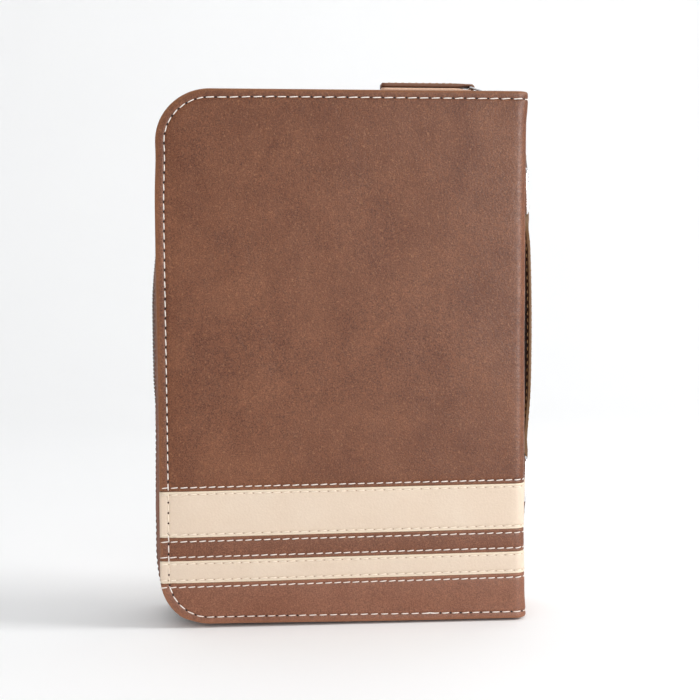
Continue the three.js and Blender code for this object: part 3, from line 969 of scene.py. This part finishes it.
for half, side in HALVES.items():
    body = half + "_half"
    gusset = zip_band(half + "_gusset_leather", side, GUSSET_PROFILE, 0.5)
    finish_piece(gusset, gusset_painted_lighter, [half + "_gusset"])
    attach(gusset, body)
    tape = zip_band(half + "_zipper_tape_woven", side, TAPE_PROFILE, 0.25)
    finish_piece(tape, woven.mat, [half + "_zipper_tape"])
    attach(tape, body)
    coil = zip_coil(half + "_zipper_coil", side)
    finish_piece(coil, coil_shade.mat, [half + "_zipper_teeth"])
    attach(coil, body)


class ZipFace:
    """The face of the gusset, for sewing on: s is length along the zipper, z distance from y = 0."""

    def __init__(self, side):
        self.side = side

    def place(self, s, z, h=0.0):
        return zip_place(zip_station(s), self.side, z, 1.97 - h)


GUSSET_ROW = 14.6
GUSSET_PITCH = 2.9
brown_thread = thread("brown_thread", srgb(120, 78, 56), srgb(86, 52, 38))
for half, side in HALVES.items():
    batch = Batch()
    face = ZipFace(side)
    length = 4.0
    while length < ZIP_LENGTHS[-1] - 4:
        add_stitch(batch, face, length, GUSSET_ROW, 1.0, 0.0, 2.3, 0.24, 0.16, 0.35)
        length += GUSSET_PITCH
    piece = finish_piece(batch.make(half + "_gusset_stitching"), brown_thread)
    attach(piece, half + "_half")


# ---------------------------------------------------------------- hard parts refined from the CAD


def refined(node, name, radius, segments=3, limit=28.0, cuts=()):
    """A copy of a CAD solid with its sharp edges rounded; cuts are (axis, millimetres) planes."""
    work = bmesh.new()
    work.from_mesh(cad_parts[node].data)
    bmesh.ops.remove_doubles(work, verts=work.verts, dist=1e-6)
    bmesh.ops.dissolve_limit(work, angle_limit=0.01, verts=work.verts, edges=work.edges)
    steep = math.radians(limit)
    sharp = [e for e in work.edges if len(e.link_faces) == 2 and e.calc_face_angle(0) > steep]
    bmesh.ops.bevel(
        work, geom=sharp, offset=radius * MM, segments=segments, profile=0.5, affect="EDGES",
        clamp_overlap=True,
    )
    for axis, at in cuts:
        point, normal = Vector((0, 0, 0)), Vector((0, 0, 0))
        point[axis], normal[axis] = at * MM, 1.0
        everything = work.verts[:] + work.edges[:] + work.faces[:]
        bmesh.ops.bisect_plane(work, geom=everything, plane_co=point, plane_no=normal, dist=1e-7)
    bmesh.ops.triangulate(work, faces=[f for f in work.faces if len(f.verts) > 4])
    mesh = bpy.data.meshes.new(name)
    work.to_mesh(mesh)
    work.free()
    verts = [tuple(v.co / MM) for v in mesh.vertices]
    faces = [list(p.vertices) for p in mesh.polygons]
    bpy.data.meshes.remove(mesh)
    piece = make_object(name, verts, faces)
    piece.data.set_sharp_from_angle(angle=math.radians(40))
    return piece


def metal(name, tone, rough):
    s = Shade(name)
    s.colour(s.mix(s.noise(0.3, 3.0), tone, tuple(0.9 * c for c in tone)))
    s.normal(s.bump(s.noise(1.4, 3.0), 0.01, 0.25))
    s.rough(s.range(s.noise(0.9, 3.0), 0.3, 0.7, rough - 0.05, rough + 0.08))
    s.set(Metallic=1.0)
    return s.mat


nickel = metal("polished_nickel", (0.80, 0.80, 0.81), 0.16)
zinc = metal("zinc_slider", (0.74, 0.74, 0.75), 0.26)

for node, name, mat, slot, body, radius in (
    ("slider_body", "slider_casting", zinc, "slider_metal", "slider", 0.42),
    ("slider_bridge", "slider_arch", zinc, "slider_metal", "slider", 0.38),
    ("pull_link", "pull_wire_link", nickel, "slider_metal", "pull", 0.24),
):
    piece = finish_piece(refined(node, name, radius), mat, [node])
    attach(piece, body)

for end in ("top", "bottom"):
    node = end + "_zipper_end_tab"
    piece = finish_piece(refined(node, node + "_leather", 0.6, 4), gusset_painted_lighter, [node])
    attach(piece, "spine")


# ---------------------------------------------------------------- handle: rings, tabs and strap

RING_X = 86.15
RING_HEIGHTS = {"upper": (high_of("upper_ring").z - 1.0, 1), "lower": (low_of("lower_ring").z + 1.0, -1)}
RING_TILT = math.radians(1.5)
RING_HALF = 13.0
RING_DROP = 21.0


def ring(name, axis, end):
    """A wire ring with round corners; its far bar leans outwards a little."""
    corner = 2.6
    path = []
    for cy, ct, start in (
        (RING_HALF - corner, -corner, 0.0),
        (RING_HALF - corner, -RING_DROP + corner, -0.5),
        (-RING_HALF + corner, -RING_DROP + corner, -1.0),
        (-RING_HALF + corner, -corner, -1.5),
    ):
        for k in range(9):
            angle = (0.5 + start - 0.5 * k / 8) * math.pi
            path.append((cy + corner * math.cos(angle), ct + corner * math.sin(angle)))
    dense = []
    for a, b in zip(path, path[1:] + path[:1]):
        run = (b[0] - a[0], b[1] - a[1])
        count = max(1, round(math.hypot(*run) / 2.0))
        dense += [(a[0] + run[0] * k / count, a[1] + run[1] * k / count) for k in range(count)]
    lean, rise = math.sin(RING_TILT), math.cos(RING_TILT)
    points = [Vector((RING_X - t * lean, y, axis + end * t * rise)) for y, t in dense]
    verts, faces, sides = [], [], 16
    count = len(points)
    out = Vector((rise, 0, end * lean))
    for i, point in enumerate(points):
        ahead = (points[(i + 1) % count] - points[i - 1]).normalized()
        across = ahead.cross(out).normalized()
        for j in range(sides):
            angle = 2 * math.pi * j / sides
            verts.append(tuple(point + out * math.cos(angle) + across * math.sin(angle)))
    for i in range(count):
        for j in range(sides):
            a, b = i * sides + j, i * sides + (j + 1) % sides
            c, d = ((i + 1) % count) * sides + j, ((i + 1) % count) * sides + (j + 1) % sides
            faces.append([a, b, d, c])
    piece = make_object(name, verts, faces)
    face_outwards(piece)
    return piece


# Painted shade: the handle leather is darkened to the shade lying on the tabs and strap. Its golden rim
# colour, set on the strap's edges, is partly a painted highlight.
handle_painted_darker = leather(
    "handle_leather", srgb(82, 55, 42), srgb(92, 63, 48), (0.66, 0.60, 0.58), srgb(120, 86, 50),
    0.6, 0.48, 0.6,
)
gold_thread = thread("golden_thread", srgb(190, 152, 100), srgb(138, 104, 66))

TAB_BACK = RIGHT + 0.1
TAB_FACE = 87.4
TAB_SLOPE = 0.126
TAB_EYE = 87.2


def tab_face(run):
    """How far out the tab's face lies, by distance from the ring's bar."""
    return TAB_FACE - TAB_SLOPE * (run - 2)


def tab_width(run):
    """The tab's width as a share: narrower at the ring than at the tail."""
    return 0.82 + 0.18 * smooth_step(3, 13, run)


def ring_tab(node, axis, end):
    """The tab from the CAD, with a thicker tail, a closer eye and sides that draw in to the ring."""
    cuts = [(2, axis + end * run) for run in np.linspace(2.5, 12.5, 6)]
    piece = refined(node, node + "_leather", 0.5, 4, 50.0, cuts)
    for vertex in piece.data.vertices:
        x, y, z = vertex.co / MM
        run = end * (z - axis)
        if run > 2:
            flat = 85.0 + (13.5 - run) / 12.3 * 2.85
            x = TAB_BACK + (x - TAB_BACK) * (tab_face(run) - TAB_BACK) / (flat - TAB_BACK)
        elif x > TAB_EYE:
            x = TAB_EYE + 0.4 * (x - TAB_EYE)
        vertex.co = Vector((x, y * tab_width(run), z)) * MM
    piece.data.update()
    return piece


class TabFace:
    """The slanting outer face of a ring tab: s runs across the tab and z along it from the ring."""

    def __init__(self, axis, end):
        self.axis, self.end = axis, end

    def place(self, s, z, h=0.0):
        return (tab_face(z) + h, s * tab_width(z), self.axis + self.end * z)


def sewn_box(batch, face, left, low, right, high, pitch, dash, radius):
    """A rectangle of stitches."""
    corners = [(left, low), (right, low), (right, high), (left, high)]
    for (s0, z0), (s1, z1) in zip(corners, corners[1:] + corners[:1]):
        run = math.hypot(s1 - s0, z1 - z0)
        count = max(1, round(run / pitch))
        ds, dz = (s1 - s0) / run, (z1 - z0) / run
        for k in range(count):
            part = (k + 0.5) / count
            s, z = s0 + (s1 - s0) * part, z0 + (z1 - z0) * part
            add_stitch(batch, face, s, z, ds, dz, dash, radius, 0.2)


for end, (axis, sign) in RING_HEIGHTS.items():
    node = end + "_ring"
    piece = finish_piece(ring(node + "_wire", axis, sign), nickel, [node])
    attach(piece, node)
    node = end + "_ring_tab"
    piece = finish_piece(ring_tab(node, axis, sign), handle_painted_darker, [node])
    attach(piece, "spine")
    batch = Batch()
    sewn_box(batch, TabFace(axis, sign), -9.3, 4.6, 9.3, 12.3, 3.2, 2.4, 0.3)
    piece = finish_piece(batch.make(node + "_stitching"), gold_thread)
    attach(piece, "spine")

STRAP_X = RING_X + RING_DROP * math.sin(RING_TILT)
STRAP_REACH = 81.0 - RING_DROP * math.cos(RING_TILT)
STRAP_MIDDLE = 0.5 * (RING_HEIGHTS["upper"][0] + RING_HEIGHTS["lower"][0])
STRAP_HALF_WIDTH = 11.0
STRAP_ROW = 9.0
STRAP_SEWN = 52.0
STRAP_PITCH = 3.5
STRAP_BOW = 3.55
SETTLED_BOW = 2.4
STRAP_HALF_THICKNESS = 1.1
EDGE_THINNING = 0.42


def strap_bow(reach, bow=SETTLED_BOW, power=0.65):
    """How far the strap stands out of the line between its ends."""
    return max(1 - (reach / STRAP_REACH) ** 2, 0.0) ** power * bow


def strap_width(reach):
    """The strap's width as a share: it draws in to the rings, more slowly at the lower end."""
    return 1 - 0.42 * smooth_step(44, 57, reach) - 0.42 * smooth_step(22, 60, -reach)


def strap_piece():
    """The strap from the CAD, with crowned faces and edges that thin out."""
    cuts = [(1, y) for y in np.linspace(-9.6, 9.6, 9)]
    piece = refined("handle_strap", "handle_strap_leather", 0.42, 3, 50.0, cuts)
    piece.data.attributes.new("rim", "FLOAT", "POINT")
    rims = piece.data.attributes["rim"]
    for i, vertex in enumerate(piece.data.vertices):
        x, y, z = vertex.co / MM
        reach = z - STRAP_MIDDLE
        centre = STRAP_X + strap_bow(reach, STRAP_BOW, 1.0)
        middle = 1 - smooth_step(46, 56, abs(reach))
        edge = STRAP_HALF_WIDTH - abs(y)
        thin = 1 - EDGE_THINNING * bell(edge, 1.9) * middle
        groove = 0.16 * bell(edge - 2.0, 0.8) * middle
        crown = 0.2 * smooth_step(1.5, 8, edge) * middle
        sign = 1 if x > centre else -1
        settled = STRAP_X + strap_bow(reach)
        lift = crown * (0.8 if sign > 0 else 0.2) - groove
        vertex.co.x = (settled + (x - centre) * thin + sign * lift) * MM
        vertex.co.y *= strap_width(reach)
        # Golden rim along the strap's sides, partly a painted highlight.
        rims.data[i].value = 0.9 * bell(edge, 0.7)
    piece.data.update()
    return piece


class StrapFace:
    """One face of the strap: s runs along it from the middle and z across it."""

    def __init__(self, sign):
        self.sign = sign

    def place(self, s, z, h=0.0):
        half = STRAP_HALF_THICKNESS * (1 - EDGE_THINNING * bell(2.0, 1.9)) - 0.1
        return (STRAP_X + strap_bow(s) + self.sign * (half + h), z * strap_width(s), STRAP_MIDDLE + s)


piece = finish_piece(strap_piece(), handle_painted_darker, ["handle_strap"])
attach(piece, "handle")
batch = Batch()
for sign in (1, -1):
    face = StrapFace(sign)
    for y in (-STRAP_ROW, STRAP_ROW):
        s = -STRAP_SEWN
        while s <= STRAP_SEWN:
            add_stitch(batch, face, s, y, 1.0, 0.02, 2.5, 0.27, 0.1, 0.35)
            s += STRAP_PITCH
piece = finish_piece(batch.make("handle_strap_stitching"), gold_thread)
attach(piece, "handle")


# ---------------------------------------------------------------- leather pull on the slider

PULL_LEFT = low_of("leather_pull").x + 1.9
PULL_WIRE = 59.8
PULL_PARTING = 52.5
PULL_LOOP = 60.3
PULL_MIDDLE = 257.15
PULL_HALF = 5.75


def pull_path():
    """Middle line of the folded strip in x and z: lower layer, fold, upper layer."""
    bend = pull_spread(PULL_LOOP)
    points = [(x, PULL_MIDDLE - pull_spread(x)) for x in np.linspace(PULL_LEFT, PULL_LOOP, 26)]
    for k in range(1, 12):
        angle = -math.pi / 2 + math.pi * k / 12
        points.append((PULL_LOOP + bend * math.cos(angle), PULL_MIDDLE + bend * math.sin(angle)))
    return points + [(x, PULL_MIDDLE + pull_spread(x)) for x in np.linspace(PULL_LOOP, PULL_LEFT, 26)]


def pull_spread(x):
    """Half the distance between the middles of the two layers, which part round the wire."""
    return 1.14 + 0.22 * smooth_step(PULL_PARTING, PULL_WIRE - 0.8, x)


def pull_half_thickness(x):
    return 1.09 - 0.52 * smooth_step(PULL_PARTING, PULL_WIRE - 0.8, x)


def folded_pull():
    """The strip with rounded edges and a slight crown, wrapped round the link's wire."""
    path = pull_path()
    section = []
    for k in range(28):
        angle = 2 * math.pi * k / 28
        c, n = math.cos(angle), math.sin(angle)
        across = math.copysign(abs(c) ** 0.24, c) * PULL_HALF
        up = math.copysign(abs(n) ** 0.55, n)
        section.append((across, up))
    verts, rims = [], []
    for i, (x, z) in enumerate(path):
        after, before = path[min(i + 1, len(path) - 1)], path[max(i - 1, 0)]
        ahead = Vector((after[0] - before[0], after[1] - before[1]))
        ahead.normalize()
        out = Vector((ahead.y, -ahead.x))
        half = pull_half_thickness(x)
        end = smooth_step(0, 1.2, min(i, len(path) - 1 - i) * 2.0)
        for across, up in section:
            width = across * (1 - 0.02 * (1 - end))
            verts.append((x + out.x * up * half, width, z + out.y * up * half))
            rims.append(0.6 * bell(PULL_HALF - abs(width), 0.5))
    faces = tube_faces(len(path), len(section))
    piece = make_object("leather_pull_strip", verts, faces, values={"rim": rims})
    face_outwards(piece)
    return piece


pull_dark = leather(
    "pull_leather", srgb(126, 82, 58), srgb(136, 91, 66), (0.62, 0.56, 0.54), srgb(146, 102, 76),
    0.6, 0.5, 0.4,
)
suede = Shade("tan_suede")
nap = suede.range(suede.noise(1.1, 4.0, 0.6), 0.35, 0.65)
suede.colour(suede.mix(nap, srgb(236, 190, 158), srgb(248, 208, 180)))
suede.normal(suede.bump(suede.noise(3.0, 3.0, 0.65), 0.08, 0.6))
suede.set(Roughness=0.85, Sheen_Weight=0.3)

pull_piece = finish_piece(folded_pull(), pull_dark, ["leather_pull"])
pull_piece.data.materials.append(suede.mat)
for face in pull_piece.data.polygons:
    if face.center.z / MM < PULL_MIDDLE - 0.2 and face.center.x / MM < PULL_LOOP:
        face.material_index = 1
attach(pull_piece, "pull")


class PullFace:
    """The upper or lower face of the pull: s is x and z runs across it."""

    def __init__(self, sign):
        self.sign = sign

    def place(self, s, z, h=0.0):
        return (s, z, PULL_MIDDLE + self.sign * (pull_spread(s) + pull_half_thickness(s) + h - 0.2))


batch = Batch()
for sign in (1, -1):
    sewn_box(batch, PullFace(sign), PULL_LEFT + 1.8, -3.9, 52.0, 3.9, 3.4, 2.5, 0.26)
piece = finish_piece(batch.make("leather_pull_stitching"), gold_thread)
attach(piece, "pull")


# ---------------------------------------------------------------- lining, sleeves and the Bible


SLAB_STEP = 4.0
PAGE_STEPS = 6


def outline_of(left, low, high, corner, until, step):
    """Corner points of a sheet with two round fore-edge corners, foot to head, and its columns."""
    count = max(2, round((until - left - corner) / step))
    columns = [float(s) for s in np.linspace(left + corner, until, count + 1)]
    walk = [(s, low, 0.0, 1.0) for s in reversed(columns)]
    for angle in np.linspace(0, math.pi / 2, 9)[1:]:
        c, n = math.cos(angle), math.sin(angle)
        walk.append((left + corner - corner * n, low + corner - corner * c, n, c))
    rows = max(2, round((high - low - 2 * corner) / step))
    walk += [(left, float(z), 1.0, 0.0) for z in np.linspace(low + corner, high - corner, rows)[1:]]
    for angle in np.linspace(0, math.pi / 2, 9)[1:]:
        c, n = math.cos(angle), math.sin(angle)
        walk.append((left + corner - corner * c, high - corner + corner * n, c, -n))
    walk += [(s, high, 0.0, -1.0) for s in columns[1:]]
    return walk, columns


def slab(
    name, wrap, left, low, high, corner, until, thickness, rounding=0.0, layers=1, relief=None, extra=()
):
    """A closed sheet or board on a wrap: outer face, inner face and rounded rims.

    layers is a count of steps in the rim, extra holds more columns near a bend, and
    relief(s, z, edge) lifts the outer face.
    """
    walk, columns = outline_of(left, low, high, corner, until, SLAB_STEP)
    columns = sorted(set(columns) | set(extra))
    rows = [float(z) for z in np.linspace(high, low, max(3, round((high - low) / SLAB_STEP)))]
    loop = [(p[0], p[1]) for p in walk]
    loop += [(until, z) for z in rows[1:-1]]
    inner_columns = [float(s) for s in np.arange(left + 1.5 * SLAB_STEP, columns[0], SLAB_STEP)]
    inner_columns += columns[:-1]

    def edge_of(s, z):
        centre = left + corner
        if s < centre and z < low + corner:
            return corner - math.hypot(s - centre, z - low - corner)
        if s < centre and z > high - corner:
            return corner - math.hypot(s - centre, z - high + corner)
        return min(s - left, z - low, high - z)

    points = list(loop)
    rings = [share * rounding for share in (0.25, 0.6, 1.1)] if rounding else [1.0]
    for ring_inset in rings:
        points += [(s + n * ring_inset, z + c * ring_inset) for s, z, n, c in walk if s < until - 0.01]
        points += [(until, low + ring_inset), (until, high - ring_inset)] if ring_inset > 0.3 else []
    for s in inner_columns:
        points += [(s, z) for z in rows[1:-1] if edge_of(s, z) > max(rings) + 0.8]
    bounds = [(i, (i + 1) % len(loop)) for i in range(len(loop))]
    flat, _, triangles, origins, _, _ = delaunay_2d_cdt([Vector(p) for p in points], bounds, [], 1, 1e-4)
    found = {old: new for new, olds in enumerate(origins) for old in olds}
    outer, inner = [], []
    for s, z in flat:
        edge = edge_of(s, z)
        lift = relief(s, z, edge) if relief else 0.0
        turned = drop(edge, rounding) if rounding else 0.0
        outer.append(wrap.place(s, z, lift - turned))
        inner.append(wrap.place(s, z, turned - thickness))
    verts = outer + inner
    count = len(outer)
    faces = [list(f) for f in triangles] + [[i + count for i in reversed(f)] for f in triangles]
    rims = [[found[i] for i in range(len(loop))]]
    for layer in range(1, layers):
        rims.append(list(range(len(verts), len(verts) + len(loop))))
        verts += [wrap.place(s, z, -thickness * layer / layers) for s, z in loop]
    rims.append([i + count for i in rims[0]])
    for upper, lower in zip(rims, rims[1:]):
        for i in range(len(loop)):
            j = (i + 1) % len(loop)
            faces.append([upper[i], upper[j], lower[j], lower[i]])
    piece = make_object(name, verts, faces)
    face_outwards(piece)
    return piece


def cloth_shade(name, dark, light, pitch, sheen):
    s = Shade(name)
    threads = s.math("MULTIPLY", s.waves(pitch, "X"), s.waves(pitch, "Z"))
    tone = s.mix(threads, dark, light)
    s.colour(s.mix(s.math("MULTIPLY", s.noise(0.06, 3.0), 0.35), tone, dark))
    s.normal(s.bump(s.math("ADD", threads, s.noise(0.9, 3.0)), 0.1, 0.6))
    s.set(Roughness=0.82, Sheen_Weight=sheen)
    return s.mat


lining_shade = cloth_shade("lining_twill", srgb(52, 36, 27), srgb(78, 56, 43), 0.9, 0.25)
sleeve_shade = cloth_shade("sleeve_twill", srgb(60, 42, 32), srgb(86, 62, 48), 1.1, 0.25)
bible_shade = leather(
    "bible_cover_leather", srgb(40, 27, 23), srgb(50, 34, 29), (0.6, 0.58, 0.56), srgb(66, 48, 42),
    0.5, 0.42, 0.7,
)

leaf_edges = Shade("page_edges")
leaves = leaf_edges.noise(1.0, 2.0, 0.5, 0.0, leaf_edges.stretched((0.02, 7.0, 0.02)))
leaf_tone = leaf_edges.range(leaves, 0.35, 0.65)
leaf_edges.colour(leaf_edges.mix(leaf_tone, srgb(222, 209, 180), srgb(243, 235, 214)))
leaf_edges.normal(leaf_edges.bump(leaves, 0.1, 0.8))
leaf_edges.set(Roughness=0.8, Specular_IOR_Level=0.25)

paper = Shade("page_paper")
fibres = paper.noise(2.2, 4.0, 0.65)
paper.colour(paper.mix(paper.range(fibres, 0.3, 0.7), srgb(236, 229, 210), srgb(243, 237, 221)))
paper.normal(paper.bump(fibres, 0.02, 0.4))
paper.set(Roughness=0.75, Specular_IOR_Level=0.25)


def board_relief(s, z, edge):
    """The hinge groove beside the spine, and a soft crown on the board."""
    return -0.55 * bell(s - 70.2, 1.4) - 0.12 * bell(edge - 2.2, 0.6)


def page_hollow(piece, left):
    """The fore-edge of the pages is slightly hollow, as a rounded text block's is."""
    for vertex in piece.data.vertices:
        x, y, z = vertex.co / MM
        near = smooth_step(left + 9, left, x)
        vertex.co.x += 1.1 * near * (1 - (abs(y) / 17.0) ** 2) * MM
    piece.data.update()


FLAT_WRAP = 400.0
SLEEVE_CORNER = 7.0
BOOK_CORNER = 6.0
lining_low = low_of("back_lining").z
for half, side in HALVES.items():
    body = half + "_half"
    lining_face = high_of("front_lining").y
    wrap = Wrap(side, high_of("spine_lining").x, lining_face, 1.6)
    left = low_of("back_lining").x
    corner = CORNER - (left - LEFT)
    bend_columns = [float(s) for s in np.linspace(68, wrap.middle, 22)]
    piece = slab(
        half + "_lining_cloth", wrap, left, lining_low, TOP - lining_low, corner, wrap.middle, 0.5,
        extra=bend_columns,
    )
    finish_piece(piece, lining_shade, [half + "_lining", "spine_lining"])
    blend_fold(piece, half)

    sleeve_low, sleeve_high = low_of(half + "_sleeve"), high_of(half + "_sleeve")
    near = abs(sleeve_low.y if side > 0 else sleeve_high.y)
    pocket = Wrap(side, FLAT_WRAP, near + 0.6, 1.0)
    piece = slab(
        half + "_sleeve_cloth", pocket, sleeve_low.x, sleeve_low.z, sleeve_high.z, SLEEVE_CORNER,
        sleeve_high.x, 0.55, 0.25,
    )
    finish_piece(piece, sleeve_shade, [half + "_sleeve"])
    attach(piece, body)

    board_low, board_high = low_of("bible_back_board"), high_of("bible_back_board")
    board_face = -board_low.y
    book_right = high_of("bible_spine").x
    wrap = Wrap(side, book_right, board_face, 1.9)
    bend_columns = [float(s) for s in np.linspace(66, wrap.middle, 26)]
    piece = slab(
        f"bible_{half}_cover", wrap, board_low.x, board_low.z, board_high.z, BOOK_CORNER, wrap.middle,
        board_face + board_high.y, 0.7, relief=board_relief, extra=bend_columns,
    )
    finish_piece(piece, bible_shade, [f"bible_{half}_board", "bible_spine"])
    blend_fold(piece, half)

    pages_low, pages_high = low_of("bible_back_pages"), high_of("bible_back_pages")
    page_face = -pages_low.y
    block = Wrap(side, FLAT_WRAP, page_face, 1.0)
    bend_columns = [float(s) for s in np.linspace(56, pages_high.x, 14)][:-1]
    piece = slab(
        f"bible_{half}_page_block", block, pages_low.x, pages_low.z, pages_high.z, BOOK_CORNER,
        pages_high.x, page_face + pages_high.y, layers=PAGE_STEPS, extra=bend_columns,
    )
    page_hollow(piece, pages_low.x)
    piece.data.set_sharp_from_angle(angle=math.radians(50))
    finish_piece(piece, paper.mat, [f"bible_{half}_pages"])
    piece.data.materials.append(leaf_edges.mat)
    for face in piece.data.polygons:
        face.material_index = 0 if abs(face.normal.y) > 0.9 else 1
    blend_fold(piece, half)


def ribbon():
    """A thin satin ribbon between the pages, with a notched end below them."""
    low, high = low_of("ribbon_marker"), high_of("ribbon_marker")
    verts, faces = [], []
    rows, columns = 70, 6
    for i in range(rows + 1):
        part = i / rows
        for face in (1, -1):
            for j in range(columns + 1):
                x = low.x + (high.x - low.x) * j / columns
                notch = 3.0 * (1 - abs(2 * j / columns - 1)) * (1 - part) ** 12
                z = low.z + notch + (high.z - low.z - notch) * part
                wave = 0.05 * math.sin(z * 0.11 + x * 0.2)
                verts.append((x, wave + face * 0.07, z))
    size = 2 * (columns + 1)
    for i in range(rows):
        base = i * size
        for j in range(columns):
            a = base + j
            faces.append([a, a + 1, a + 1 + size, a + size])
            b = base + columns + 1 + j
            faces.append([b, b + size, b + size + 1, b + 1])
        a, b = base, base + columns + 1
        faces.append([a, a + size, b + size, b])
        a, b = base + columns, base + 2 * columns + 1
        faces.append([a, b, b + size, a + size])
    for i in (0, rows):
        base = i * size
        for j in range(columns):
            faces.append([base + j, base + j + 1, base + columns + 2 + j, base + columns + 1 + j])
    piece = make_object("ribbon_marker_satin", verts, faces)
    face_outwards(piece)
    return piece


satin = Shade("ribbon_satin")
rib = satin.waves(2.4, "Z")
satin.colour(satin.mix(rib, srgb(112, 24, 36), srgb(140, 36, 48)))
satin.normal(satin.bump(rib, 0.04, 0.5))
satin.set(Roughness=0.35, Sheen_Weight=0.4)
piece = finish_piece(ribbon(), satin.mat, ["ribbon_marker"])
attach(piece, "back_half")

# ---------------------------------------------------------------- CAD nodes that stay

card = Shade("grey_card", carried=True)
pulp = card.range(card.noise(0.9, 4.0), 0.35, 0.65)
card.colour(card.mix(pulp, srgb(128, 112, 94), srgb(148, 130, 110)))
card.normal(card.bump(card.noise(2.0, 3.0), 0.06, 0.5))
card.set(Roughness=0.9)

band = Shade("striped_headband", carried=True)
stripes = band.waves(0.55, "Y")
band.colour(band.mix(band.range(stripes, 0.4, 0.6), srgb(214, 200, 160), srgb(120, 34, 42)))
band.normal(band.bump(band.waves(2.5, "Y"), 0.05, 0.6))
band.set(Roughness=0.6, Sheen_Weight=0.3)


def dress(node, mat):
    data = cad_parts[node].data
    data.materials.clear()
    data.materials.append(mat)


for node in ("back_stiffener", "front_stiffener", "spine_stiffener"):
    dress(node, card.mat)
for node in ("head_band", "tail_band"):
    dress(node, band.mat)
